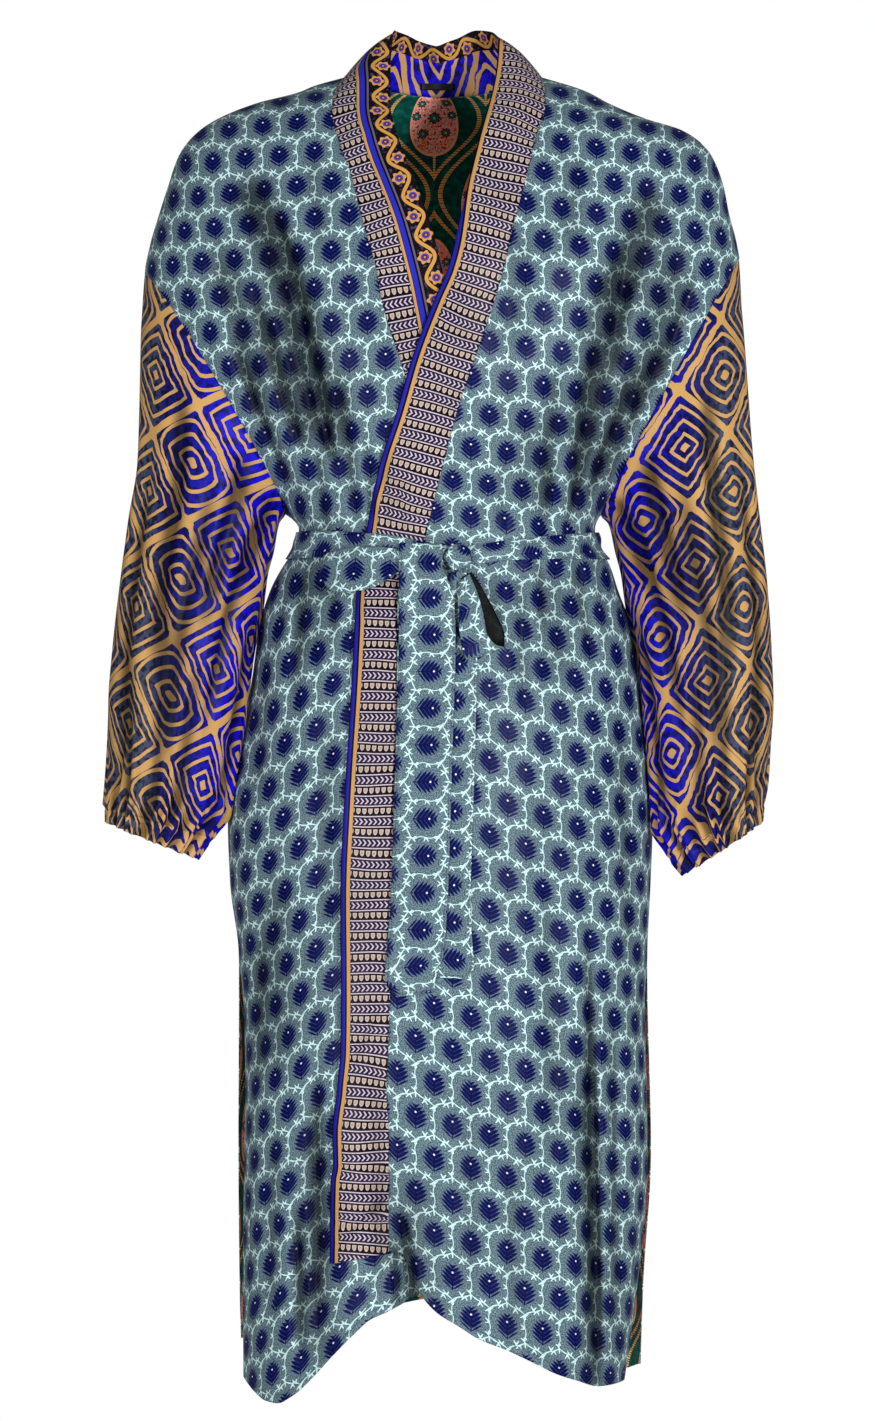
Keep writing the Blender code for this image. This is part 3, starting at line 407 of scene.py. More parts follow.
def cloth(name, node, outer, inner, flat, looks, wrap=False, rim=None, sunk=None):
    """Closed shell between two grids of points, in the place of a solid. flat is each point's
    place on the cut, in metres, for UV map Cut; rim its distances from two edges, for UV map
    Rim; sunk how deep it lies in a fold, in mm, for attribute Sunk, by which the silk paints
    shade into its colour. looks are the materials of the outer and the inner face."""
    rows, cols = outer.shape[:2]
    top = np.arange(rows * cols).reshape(rows, cols)
    if wrap:
        top = closed(top)
    low = top + rows * cols
    place = np.arange(top.size).reshape(top.shape)
    quads, spots, sides = [], [], []
    for ids, turn, side in ((top, 1, 0), (low, -1, 1)):
        quads.append(corners(ids)[:, ::turn])
        spots.append(corners(place)[:, ::turn])
        sides.append(np.full(len(quads[-1]), side))
    edges = [(0, slice(None), -1), (-1, slice(None), 1)]
    if not wrap:
        edges += [(slice(None), 0, 1), (slice(None), -1, -1)]
    for r, c, turn in edges:
        a, b, p = top[r, c], low[r, c], place[r, c]
        quads.append(np.stack([a[:-1], a[1:], b[1:], b[:-1]], axis=-1)[:, ::turn])
        spots.append(np.stack([p[:-1], p[1:], p[1:], p[:-1]], axis=-1)[:, ::turn])
        sides.append(np.zeros(len(quads[-1]), int))
    quads, spots, sides = (np.concatenate(v) for v in (quads, spots, sides))
    points = np.concatenate([outer.reshape(-1, 3), inner.reshape(-1, 3)])
    a, b, c = (points[quads[:, k]] for k in range(3))
    if np.einsum("ij,ij->", a, np.cross(b - a, c - a)) < 0:
        quads, spots = quads[:, ::-1], spots[:, ::-1]
    mesh = bpy.data.meshes.new(name)
    mesh.from_pydata((points / 1000).tolist(), [], quads.tolist())
    for title, values in (("Cut", flat), ("Rim", rim)):
        if values is not None:
            values = np.broadcast_to(values, top.shape + (2,)).reshape(-1, 2)
            layer = mesh.uv_layers.new(name=title)
            layer.data.foreach_set("uv", values[spots.reshape(-1)].reshape(-1).astype(np.float32))
    mesh.polygons.foreach_set("use_smooth", np.ones(len(quads), bool))
    if sunk is not None:
        layer = mesh.attributes.new("Sunk", "FLOAT", "POINT")
        layer.data.foreach_set("value", np.concatenate([sunk.reshape(-1)] * 2).astype(np.float32))
    for look in looks:
        mesh.materials.append(look)
    mesh.polygons.foreach_set("material_index", (sides * (len(looks) - 1)).astype(np.int32))
    mesh.update()
    piece = bpy.data.objects.new(name, mesh)
    bpy.context.scene.collection.objects.link(piece)
    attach(piece, "root")
    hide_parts(node)
    return piece


def feed(tree, value, slot):
    """Lead a thread or a plain number into the slot of a node."""
    if isinstance(value, Thread):
        tree.links.new(value.socket, slot)
    else:
        slot.default_value = value


class Thread:
    """A number carried through Math nodes, so that a print can be written as a formula."""

    def __init__(self, tree, socket):
        self.tree = tree
        self.socket = socket

    def make(self, operation, *others):
        node = self.tree.nodes.new("ShaderNodeMath")
        node.operation = operation
        for slot, value in zip(node.inputs, (self, *others)):
            feed(self.tree, value, slot)
        return Thread(self.tree, node.outputs[0])

    def __add__(self, other):
        return self.make("ADD", other)

    def __sub__(self, other):
        return self.make("SUBTRACT", other)

    def __mul__(self, other):
        return self.make("MULTIPLY", other)

    def __truediv__(self, other):
        return self.make("DIVIDE", other)

    def __lt__(self, other):
        return self.make("LESS_THAN", other)

    def __gt__(self, other):
        return self.make("GREATER_THAN", other)

    def __abs__(self):
        return self.make("ABSOLUTE")

    def least(self, other):
        return self.make("MINIMUM", other)

    def most(self, other):
        return self.make("MAXIMUM", other)

    def squared(self, y):
        """Square of the distance from 0 of a point at this number and y."""
        return self * self + y * y

    def reach(self, y):
        """Distance from 0 of a point at this number and y."""
        return self.squared(y).make("SQRT")

    def lobes(self, y, count):
        """Wave of so many lobes round 0, at a point at this number and y."""
        return (y.make("ARCTAN2", self) * count).make("COSINE")

    def wave(self, length, shift=0.0):
        """Sine of the value, with a wave of this length."""
        return (self * (2 * np.pi / length) + shift).make("SINE")

    def within(self, length, start=0.0):
        """Place in a repeat of this length, from minus half to plus half of it."""
        part_of = ((self + start) / length).make("FRACT")
        return (part_of - 0.5) * length

    def soft(self, low, high):
        """0 below low and 1 above high, eased between them."""
        node = self.tree.nodes.new("ShaderNodeMapRange")
        node.interpolation_type = "SMOOTHSTEP"
        feed(self.tree, self, node.inputs["Value"])
        feed(self.tree, low, node.inputs["From Min"])
        feed(self.tree, high, node.inputs["From Max"])
        return Thread(self.tree, node.outputs["Result"])

    def stroke(self, y, start, end, wide):
        """1 on a tapering stroke from start to end of this half width, 0 off it."""
        run = np.subtract(end, start)
        square_of = float(run @ run)
        along = ((self - start[0]) * (run[0] / square_of) + (y - start[1]) * (run[1] / square_of))
        along = along.least(1.0).most(0.0)
        off_x = self - start[0] - along * float(run[0])
        off_y = y - start[1] - along * float(run[1])
        return (off_x.reach(off_y) + along * (0.6 * wide)) < wide


def paint(tree, share, under, over):
    """Colour over another where share is 1. Colours are sRGB triples or sockets."""
    node = tree.nodes.new("ShaderNodeMix")
    node.data_type = "RGBA"
    tree.links.new(share.socket, node.inputs["Factor"])
    for slot, value in ((6, under), (7, over)):
        if isinstance(value, tuple):
            linear = [((tint / 255 + 0.055) / 1.055) ** 2.4 if tint > 10 else tint / 255 / 12.92
                      for tint in value]
            node.inputs[slot].default_value = (*linear, 1)
        else:
            tree.links.new(value, node.inputs[slot])
    return node.outputs[2]


def coats(tree, colour, *layers):
    """Colours laid one over another, each given as its share, from 0 to 1, and its colour."""
    for share, over in layers:
        colour = paint(tree, share, colour, over)
    return colour


def noise(tree, vector, scale, detail=2.0, stretch=(1, 1, 1)):
    """Cloudy variation from 0 to 1, stretched along the axes."""
    spread = tree.nodes.new("ShaderNodeMapping")
    spread.inputs["Scale"].default_value = stretch
    tree.links.new(vector, spread.inputs["Vector"])
    cloud = tree.nodes.new("ShaderNodeTexNoise")
    cloud.inputs["Scale"].default_value = scale
    cloud.inputs["Detail"].default_value = detail
    tree.links.new(spread.outputs[0], cloud.inputs["Vector"])
    return Thread(tree, cloud.outputs["Fac"])


def new_look(name):
    """New material, with its node tree and its shader."""
    look = bpy.data.materials.new(name)
    look.use_nodes = True
    return look, look.node_tree, look.node_tree.nodes["Principled BSDF"]


def uv_place(tree, title):
    """Socket of one of the piece's UV maps."""
    where = tree.nodes.new("ShaderNodeUVMap")
    where.uv_map = title
    return where.outputs[0]


def split(tree, vector):
    """The first two numbers of a vector."""
    parts = tree.nodes.new("ShaderNodeSeparateXYZ")
    tree.links.new(vector, parts.inputs[0])
    return Thread(tree, parts.outputs[0]), Thread(tree, parts.outputs[1])


def silk(name, print_of, shift=(0, 0), gloss=0.42, stitch=None, shade=1.0, inside=False):
    """Printed silk: print_of draws the colour from the place on the cut, in mm, after the
    shift; slubs and light creases lift the surface. Shade is painted into the colour where
    the silk lies deep in a fold. stitch is the distance from the rim of a row of machine
    stitches. shade scales the brightness of the colour. A print for the inside gets painted
    light instead: it is laid on paler between neck and waist, where little light gets in,
    and its folds get no painted shade."""
    look, tree, shader = new_look(name)
    where = uv_place(tree, "Cut")
    lay = tree.nodes.new("ShaderNodeMapping")
    lay.inputs["Scale"].default_value = (1000, 1000, 1000)
    lay.inputs["Location"].default_value = (*shift, 0)
    tree.links.new(where, lay.inputs["Vector"])
    u, v = split(tree, lay.outputs[0])
    # Painted light: the inside print is paler between neck and waist. Other silk gets painted shade,
    # darker the deeper it lies in a fold.
    if inside:
        painted_light = v.soft(10.0, -130.0) * v.soft(-620.0, -420.0) * 1.3
    else:
        fold = tree.nodes.new("ShaderNodeAttribute")
        fold.attribute_name = "Sunk"
        painted_light = Thread(tree, fold.outputs["Fac"]).soft(0.2, 10.0) * -0.78
    patch = noise(tree, where, 9.0).soft(0.2, 0.8) * 0.16 + 0.92
    tone_and_painted_light = tree.nodes.new("ShaderNodeHueSaturation")
    tree.links.new((patch * (painted_light + 1) * shade).socket, tone_and_painted_light.inputs["Value"])
    tree.links.new(print_of(tree, u, v, where), tone_and_painted_light.inputs["Color"])
    colour = tone_and_painted_light.outputs[0]
    slub = noise(tree, where, 260.0, 3.0, (1, 7, 1))
    pucker = noise(tree, where, 22.0, 3.0, (1.6, 0.55, 1))
    lift = slub * 0.05 + pucker * 1.1
    if stitch is not None:
        foot, edge = split(tree, uv_place(tree, "Rim"))
        off = abs((foot * 1000).least(edge * 1000) - stitch)
        dash = abs((u + v).within(3.0)) < 1.05
        colour = paint(tree, (off < 0.45) * dash * 0.6, colour, (34, 44, 60))
        lift = lift - off.soft(2.2, 0.0) * 0.9
    tree.links.new(colour, shader.inputs["Base Color"])
    bump = tree.nodes.new("ShaderNodeBump")
    bump.inputs["Strength"].default_value = 0.55
    bump.inputs["Distance"].default_value = 0.001
    tree.links.new(lift.socket, bump.inputs["Height"])
    tree.links.new(bump.outputs[0], shader.inputs["Normal"])
    tree.links.new((slub * 0.12 + (gloss - 0.06)).socket, shader.inputs["Roughness"])
    shader.inputs["Specular IOR Level"].default_value = 0.08
    return look


def lattices(u, v, wide, high):
    """Places in the cells of two staggered lattices, of this width and twice this height."""
    return ((u.within(wide), v.within(2 * high)),
            (u.within(wide, wide / 2), v.within(2 * high, high)))


def chosen(first, second, pick):
    """The second place where pick is 1, else the first."""
    return [a + (b - a) * pick for a, b in zip(first, second)]


# Trellis print: a staggered honeycomb of mint vines round navy pine-cone flowers.
CELL_WIDE = 32.5
CELL_HIGH = 32.5


def trellis(tree, u, v, where):
    """Each point takes the nearer of two staggered lattices of cell centres; the vine runs
    half-way between centres, and the flower is an egg cut by rising scale lines."""
    first, second = lattices(u, v, CELL_WIDE, CELL_HIGH)
    x, y = chosen(first, second, second[0].squared(second[1]) < first[0].squared(first[1]))
    ax, ay = abs(x), abs(y)
    half_wide = CELL_WIDE / 2
    apart = float(np.hypot(half_wide, CELL_HIGH))
    bent = ay + ax.wave(half_wide) * 0.9
    slant = (ax * (half_wide / apart) + bent * (CELL_HIGH / apart)) * -1 + apart / 2
    sway = x + y.wave(half_wide) * 0.7
    upright = abs(sway - half_wide).least(abs(sway + half_wide))
    ring = abs((ax - half_wide).reach(ay - 8.9) - 1.0) < 0.35
    leaves = ring.most(slant.least(upright) < 0.38)
    # Leaves along the vine, mirrored where they are measured from both sides.
    for side, height, start, end, wide in (
            (ax, y, (0, 19.6), (0, 15.8), 1.0), (x, ay, (15.8, 10.9), (12.6, 9.0), 1.0),
            (x, y, (-15.8, 10.9), (-13.2, 13.2), 0.85), (x, y, (16.2, 0.4), (12.9, 2.7), 0.9),
            (x, y, (16.2, 0.0), (12.9, -1.1), 0.8), (x, ay, (8.1, 15.0), (5.9, 12.0), 0.95),
            (x, ay, (8.0, 15.2), (10.4, 11.9), 0.85), (x, ay, (-5.0, 17.0), (-3.4, 14.2), 0.85),
            (x, ay, (-6.0, 16.6), (-8.2, 13.6), 0.8)):
        leaves = leaves.most(side.stroke(height, start, end, wide))
    notch = abs(((y - ax * 0.75) / 3.9).make("FRACT") - 0.5)
    egg = (ax / (y * -0.05 + 9.5)).squared((y + 0.2) / 10.4)
    petals = egg < (notch * 1.8 + 0.36)
    stalk = ax.stroke(y, (0, -9.6), (0, -12.0), 0.75)
    veins = (notch < 0.08) * (ax > 0.7) * (egg < 0.75)
    grain = noise(tree, where, 900.0)
    halo = (egg + noise(tree, where, 120.0, 3.0) * 0.8).soft(2.6, 1.4)
    return coats(tree, (58, 80, 92),
                 (grain.soft(0.40, 0.60), (130, 156, 163)),
                 (halo * 0.3, (92, 106, 142)),
                 (leaves, (216, 250, 252)),
                 (petals.most(stalk), (4, 11, 74)),
                 (veins * 0.55, (60, 78, 156)),
                 (ax.squared(y - 3.0) < 0.8, (236, 240, 246)))


# Lining print: coral teardrops in a net of beaded lines on deep teal.
def medallion(tree, u, v, where):
    """Staggered teardrops. The net between them swells and narrows as a cosine of height."""
    wide, high = 94.0, 75.0
    first, second = lattices(u, v, wide, high)
    net = ((abs(first[1]) * (np.pi / high)).make("COSINE") * 0.5 + 0.5) * (wide / 2)
    x, y = chosen(second, first, abs(first[0]) < net)
    ax = abs(x)
    gap = abs(abs(first[0]) - net)
    net_line = (abs(gap - 5.6) < 2.0).most(ax.stroke(y, (0, -34), (0, -58), 1.5))
    beads = abs(v.within(2.3)) < 0.75
    drop = (ax / (y * -0.15 + 20.5)).reach((y + 2) / 36.0)
    inside = drop < 1.0
    petals = noise(tree, where, 330.0, 1.0)
    colour = coats(tree, (5, 58, 52),
                   (noise(tree, where, 160.0, 3.0).soft(0.4, 0.7), (16, 84, 75)),
                   (net_line * beads, (206, 156, 94)),
                   (inside, paint(tree, y.soft(-8, -26), (206, 124, 112), (178, 104, 66))),
                   (inside * (abs(petals - 0.5) < 0.035), (240, 184, 174)),
                   (inside * (petals < 0.40), (122, 60, 56)),
                   (abs(drop - 1.0) < 0.035, (226, 160, 128)))
    for cx, cy, size in ((0, -2, 6.4), (16.2, 1, 4.8), (11, 14, 4.6), (10.5, -17, 5.2), (0, 25, 4.0)):
        dx, dy = ax - cx, y - cy
        away = dx.reach(dy)
        colour = coats(tree, colour,
                       (away < (dx.lobes(dy, 9.0) * 0.14 + 0.86) * size, (52, 28, 34)),
                       (away < size * 0.62, (20, 96, 86)),
                       (away < size * 0.2, (206, 150, 110)))
    return colour


NECKLINE = table(
    "x z",
    (-88.5, 10), (-68, 5.5), (-45, 1.5), (-23, -1), (0, -2), (23, -1), (45, 1.5), (68, 5.5),
    (88.5, 10),
)
HEM_BACK = table(
    "x z",
    (-181, -1128), (-160, -1142), (-110, -1126), (-50, -1108), (0, -1100), (60, -1110),
    (120, -1134), (160, -1160), (181, -1150),
)
NECKLINE_FADE = 120.0     # the rows' dip at the neck is gone this far down
FINE_TO = -60.0           # down to here rows are close together, for the turn of the shoulder
FINE_STEP, ROW_STEP = 2.5, 4.3
ROWS = np.concatenate([np.arange(NECK_Z, FINE_TO, -FINE_STEP),
                       np.arange(FINE_TO, HEM_LEVEL - 1, -ROW_STEP), [HEM_LEVEL]])
BACK_COLUMNS = 140
FALL_BACK = table("z slope", (10, 0.14), (-330, 0.12), (-600, 0.30), (-1180, 0.30))

neckline = curve(NECKLINE["x"], NECKLINE["z"])
hem_back = curve(HEM_BACK["x"], HEM_BACK["z"])
level = ROWS[:, None]
turn = np.linspace(-np.pi / 2, np.pi / 2, BACK_COLUMNS + 1)[None]
left_end = row_ends(ROWS, hem_back, LEFT, BACK)[:, None]
right_end = row_ends(ROWS, hem_back, RIGHT, BACK)[:, None]
x = np.where(turn < 0, left_end, right_end) * np.sin(turn)
dip = (neckline(x) - NECK_Z) * above(level, NECK_Z, NECKLINE_FADE) * (np.abs(x) < NECK_X)
z = row_z(x, level, hem_back) + dip
back_out = joined(x, cloth_y(x, z, BACK), z)
back_flat = over_ridge(arc_map(BACK, FALL_BACK)(x, z, np.hypot(x, 30)), back_out)
back_in = back_out - normals(back_out, (0, 1, 0)) * CLOTH
sides = np.minimum(x + left_end, right_end - x) + (z > SLIT_TOP) * UNSTITCHED
back_silk = silk("back_silk", trellis, stitch=STITCH_IN)
# The lining's print is drawn 2.4 times as bright, with painted light that makes it paler still between
# neck and waist, where little light gets in.
lining_silk = silk("lining_silk", medallion, shift=(8, 79), stitch=STITCH_IN, shade=2.4, inside=True)
back_panel = cloth("back_panel", "back", back_out, back_in, back_flat, (back_silk, lining_silk),
                   rim=joined(z - z[-1:], sides) / 1000, sunk=sunk_in(x, z, BACK))

# Front panels.
# Two long fronts of the same silk. The one on the viewer's right laps over the other at
# the waist, and both hems rise towards the middle.
LAYER = 4.0           # how far the top front lies outside the under front
LAP = dict(past=52.0, blend=40.0, top=-112.0, run=45.0)    # where it does so, and how gently
NECK_CROWN = 4.0      # how far the band bulges up beside the neck
BAND_CELLS = 14
BAND_STANDS = dict(start=-45.0, run=30.0)      # where the band stops standing up
BAND_STRAIGHT = dict(start=-40.0, run=70.0)    # where it stops running straight across
BAND_OUT = 0.5        # how far a band's outer face lies outside the front it edges
BAND_THICK = 1.4
BAND_NECK_ROWS = 5    # rows of a band's table that stand round the neck
BAND_HOLLOW = 3.0     # how far the standing band bulges forward
FRONT_COLUMNS = 116
BAND_TOP = table(
    "z seam free rise edge_y",
    (10, 88.5, 50, 35, -3),
    (-5, 91, 48, 22, -26),
    (-20, 91, 43, 9, -50),
    (-48, 83, 34, 3, -76),
    (-90, 73, 23, 0, -99),
    (-131, 62, 14, 0, 0),
    (-171, 53, 4, 0, 0),
    (-199, 45, -8, 0, 0),
    (-249, 28, -27, 0, 0),
    (-297, 12, -41, 0, 0),
    (-343, 0, -56, 0, 0),
    (-390, -12, -66, 0, 0),
    (-414, -18, -70, 0, 0),
    (-436, -34, -75, 0, 0),
    (-463, -40.5, -77, 0, 0),
    (-542, -41, -81, 0, 0),
    (-639, -42.5, -87, 0, 0),
    (-727, -44, -90.5, 0, 0),
    (-815, -47, -90, 0, 0),
    (-859, -48.5, -90.5, 0, 0),
    (-894, -50, -93.5, 0, 0),
    (-964, -48, -97.5, 0, 0),
    (-1017, -48, -97, 0, 0),
    (-1043, -48, -99, 0, 0),
    (-1180, -48, -100, 0, 0),
)
BAND_UNDER = table(
    "z seam free rise edge_y",
    (10, -88.5, -45, 39, -3),
    (-8, -98, -47, 22, -28),
    (-23, -99, -47, 4, -50),
    (-52, -93, -40, 1, -76),
    (-84, -82, -28, 0, -96),
    (-128, -71, -12, 0, 0),
    (-171, -59, -1, 0, 0),
    (-199, -54, 5, 0, 0),
    (-264, -34, 19, 0, 0),
    (-340, -14, 38, 0, 0),
    (-414, 0, 51, 0, 0),
    (-550, 0, 51, 0, 0),
    (-1180, -3, 49, 0, 0),
)
HEM_TOP = table(
    "x z",
    (-98, -1048), (-48, -1038), (-38, -1037), (-19, -1075), (-5, -1090), (13, -1101),
    (32, -1113), (54, -1122), (80, -1135), (100, -1146), (118, -1153), (140, -1161), (178, -1160),
)
HEM_UNDER = table(
    "x z",
    (-179, -1158), (-168, -1168), (-158, -1174), (-148, -1175), (-135, -1168), (-113, -1147),
    (-100, -1132), (-80, -1111), (-65, -1097), (-48, -1089), (-19, -1074), (10, -1068), (50, -1062),
)

FALL_TOP = table("z slope", (10, 0.18), (-330, 0.12), (-600, 0.34), (-850, 0.28), (-1180, 0.20))
FALL_UNDER = table("z slope", (10, 0.16), (-200, 0.05), (-330, 0.03), (-600, 0.48), (-1180, 0.50))


def over_layer(x, z):
    """How far the top front stands out to pass over the under front."""
    under_edge = np.interp(-z, -BAND_UNDER["z"], BAND_UNDER["free"])
    beside = ease((under_edge + LAP["past"] - x) / LAP["blend"])
    return LAYER * beside * ease((LAP["top"] - z) / LAP["run"])


def front_points(side, band, hem_table):
    """Points of one front, row by row, from the band's free edge to the outer edge. The band
    is straight across where it stands round the neck and lies on the body below."""
    level = ROWS[:, None]
    seam, free, rise = (curve(band["z"], band[k])(level) for k in ("seam", "free", "rise"))
    top = slice(BAND_NECK_ROWS)
    edge_y = curve(band["z"][top], band["edge_y"][top])(level)
    hem = curve(hem_table["x"], hem_table["z"])
    end = side * row_ends(ROWS, hem, side, FRONT)[:, None]
    start = np.arcsin(seam / end)
    x = end * np.sin(start + (np.pi / 2 - start) * np.linspace(0, 1, FRONT_COLUMNS + 1)[None])
    z = row_z(x, level, hem)
    y = cloth_y(x, z, FRONT)
    t = np.linspace(1, 0, BAND_CELLS + 1)[None, :-1]
    bx = seam + (free - seam) * t
    crown = z[:, :1] + (level + rise - z[:, :1]) * t + NECK_CROWN * np.sin(np.pi * t)
    beside = above(level, **BAND_STANDS)
    bz = crown * beside + (row_z(bx, level, hem) + rise * t) * (1 - beside)
    straight = y[:, :1] + (edge_y - y[:, :1]) * t - BAND_HOLLOW * np.sin(np.pi * t)
    neck = above(level, **BAND_STRAIGHT)
    by = straight * neck + cloth_y(bx, np.minimum(bz, -20.0), FRONT) * (1 - neck)
    points = np.concatenate([joined(bx, by, bz), joined(x, y, z)], axis=1)
    if side == RIGHT:
        points[..., 1] -= over_layer(points[..., 0], points[..., 2])
    return points


# Border print on the bands: cross rows of chevrons and small tulips on dark plum, then
# gold and blue stripes along the free edge. One band ends in a wavy gold vine with flowers.
ROW_PITCH = 9.2
TULIP_PITCH = 5.4
CHEVRON_PITCH = 4.2
PLUM, PALE, GOLD = (12, 5, 16), (222, 205, 213), (208, 158, 98)


def border_rows(tree, u, v, where, start):
    """Rows across the band: odd rows are tulips, even rows are chevrons, thin lines between.
    start is where they begin, in from the free edge."""
    v = v + noise(tree, where, 13.0, 1.0) * 9.0 - 4.5
    y = v.within(ROW_PITCH)
    tulips = v.within(2 * ROW_PITCH) > 0
    cup = (u.within(TULIP_PITCH) / 2.0).reach((y.least(0.8) - 0.8) / 3.4).most(y / 2.7)
    arrow = ((u + abs(y) * 0.85) / CHEVRON_PITCH).make("FRACT")
    arms = (arrow < 0.35) * (abs(y) < 2.7)
    return coats(tree, (34, 26, 64),
                 (tulips, PLUM),
                 (abs(y) > 4.12, PALE),
                 ((tulips * -1 + 1) * arms, PALE),
                 (tulips * (cup < 0.94), (212, 194, 188)),
                 (tulips * (cup < 0.55), (190, 158, 130)),
                 (noise(tree, where, 700.0).soft(0.5, 0.75) * 0.3, (60, 40, 56)),
                 (u < start, PLUM))


def stripes(tree, u, colour, *bands):
    """Lengthwise stripes of the border, each given by its two edges and its colour."""
    return coats(tree, colour, *(((u > low) * (u < high), over) for low, high, over in bands))


def border(tree, u, v, where):
    """Gold then rows from the free edge. Lower down a blue stripe comes out beside the gold,
    where the edge is less rolled under."""
    u = u + v.soft(-230.0, -160.0) * 4.4
    return stripes(tree, u, border_rows(tree, u, v, where, 9.2),
                   (5.7, 8.9, GOLD), (0.7, 3.9, (36, 35, 164)))


VINE_WAVE = 38.0      # length of one wave of the gold vine


def scroll_border(tree, u, v, where):
    """Rows from 31 mm in, gold, blue and slate lines, and a wavy gold vine along the free
    edge, with a scalloped violet flower in each hollow of it."""
    colour = stripes(tree, u, border_rows(tree, u, v, where, 30.8),
                     (28.0, 30.4, GOLD), (23.0, 27.4, (44, 48, 190)),
                     (19.6, 21.4, (104, 96, 116)), (-9, 18.8, (22, 14, 22)))
    colour = paint(tree, (noise(tree, where, 260.0, 1.0) > 0.60) * (u < 18.0), colour, (70, 62, 92))
    middle = v.wave(VINE_WAVE) * 6.0 + 9.4
    slope = (v * (2 * np.pi / VINE_WAVE)).make("COSINE")
    near = abs(u - middle) / (slope * slope * 0.86 + 1).make("SQRT")
    for place, start in ((6.6, 9.5), (12.4, 28.5)):
        dx, dy = u - place, v.within(VINE_WAVE, start)
        away = (dx * dx * 0.8 + dy * dy).make("SQRT")
        colour = coats(tree, colour,
                       (away < dx.lobes(dy, 6.0) * 0.8 + 5.4, (220, 158, 84)),
                       (away < 3.4, (86, 70, 176)),
                       (away < 1.9, (44, 24, 60)),
                       (away < 1.0, (224, 140, 70)))
    return paint(tree, near < 1.6, colour, (216, 160, 80))


def band_cut(points):
    """Place on a band's cut: distance across from the free edge, square to the band, and
    distance along its middle line."""
    middle = points[:, points.shape[1] // 2]
    tangent = np.gradient(middle, axis=0)
    tangent = tangent / np.linalg.norm(tangent, axis=1, keepdims=True)
    v = lengths(middle)[:, None] + np.einsum("ijk,ik->ij", points - middle[:, None], tangent)
    step = np.diff(points, axis=1)
    step = step - np.einsum("ijk,ik->ij", step, tangent)[..., None] * tangent[:, None]
    return joined(running(np.linalg.norm(step, axis=2), axis=1), -v) / 1000


SHAPED = 0.8          # area of a front's shaped cut, as a share of its flat rectangle
FRONTS = (
    (RIGHT, BAND_TOP, HEM_TOP, FALL_TOP, "front_left", "band_left", border, (0.34, 1.22), (8, 0)),
    (LEFT, BAND_UNDER, HEM_UNDER, FALL_UNDER, "front_right", "band_right", scroll_border,
     (0.32, 1.22), (2, 9)),
)
for side, band, hem_table, fall, panel_name, band_name, band_print, flat, shift in FRONTS:
    points = front_points(side, band, hem_table)
    lie = normals(points, (0, -1, 0))
    panel = points[:, BAND_CELLS:]
    x, _, z = np.moveaxis(panel, 2, 0)
    edge = np.abs(x[:, -1:] - x) + (z > SLIT_TOP) * UNSTITCHED
    piece = cloth(panel_name + "_panel", panel_name, panel, panel - lie[:, BAND_CELLS:] * CLOTH,
                  over_ridge(arc_map(FRONT, fall)(x, z, side * x), panel),
                  (silk(panel_name + "_silk", trellis, shift=shift, stitch=STITCH_IN), lining_silk),
                  rim=joined(np.abs(z - z[-1:]), edge) / 1000, sunk=sunk_in(x, z, FRONT))
    flat[0] * flat[1] * SHAPED
    lie = lie[:, :BAND_CELLS + 1]
    strip_out = points[:, :BAND_CELLS + 1] + lie * BAND_OUT
    piece = cloth(band_name + "_border", band_name, strip_out, strip_out - lie * BAND_THICK,
                  band_cut(strip_out), (silk(band_name + "_silk", band_print),),
                  sunk=sunk_in(strip_out[..., 0], strip_out[..., 2], FRONT))

# Collar behind the neck, with its facing and label.
# The border band goes on round the back neck and stands up. Its inside shows the vine edge,
# then a facing of sleeve silk with a small plain woven label at its foot.
COLLAR = table(
    "x y z",
    (-45, -3, 49), (-43, 21, 54), (-33, 37, 52), (-21, 45, 47), (-8, 47, 44),
    (11, 46, 49), (29, 38, 56), (43, 22, 53), (50, -3, 45),
)
COLLAR_COLUMNS = 96
COLLAR_CELLS = 16
COLLAR_OUT = 0.4      # outer and inner face of the band, from its middle
COLLAR_IN = 1.0
COLLAR_BULGE = 2.5
PLEAT = dict(place=-0.6, lean=0.8, wide=0.28, deep=3.2, low=1.6)    # leans as it rises
FACING_IN = 1.9       # from the collar's middle to the facing
FACING_THICK = 0.7

# Straight from the collar's top edge to the neckline, less a leaning bell-shaped pleat, and
# bulged back by a half sine.
place = np.linspace(-4, 4, COLLAR_COLUMNS + 1)
foot_x = SHOULDER_X * np.sin(place * np.pi / 32)
foot_line = joined(foot_x, cloth_y(foot_x, neckline(foot_x), BACK), neckline(foot_x))
top_line = joined(*(curve(np.arange(-4, 5), COLLAR[k])(place) for k in "xyz"))
t = np.linspace(1, 0, COLLAR_CELLS + 1)[:, None]
collar = foot_line * (1 - t[..., None]) + top_line * t[..., None]
tuck = np.exp(-((place - PLEAT["place"] - PLEAT["lean"] * t) / PLEAT["wide"]) ** 2)
collar[..., 1] += COLLAR_BULGE * np.sin(np.pi * t) - PLEAT["deep"] * tuck * t
collar[..., 2] -= PLEAT["low"] * tuck * t ** 2
lie = normals(collar, (0, 1, 0))
collar_cut = band_cut(collar.transpose(1, 0, 2)).transpose(1, 0, 2)
collar_looks = silk("collar_outer_silk", border), silk("collar_inner_silk", scroll_border)
collar_piece = cloth("collar_border", "collar_back", collar + lie * COLLAR_OUT,
                     collar - lie * COLLAR_IN, collar_cut, collar_looks)


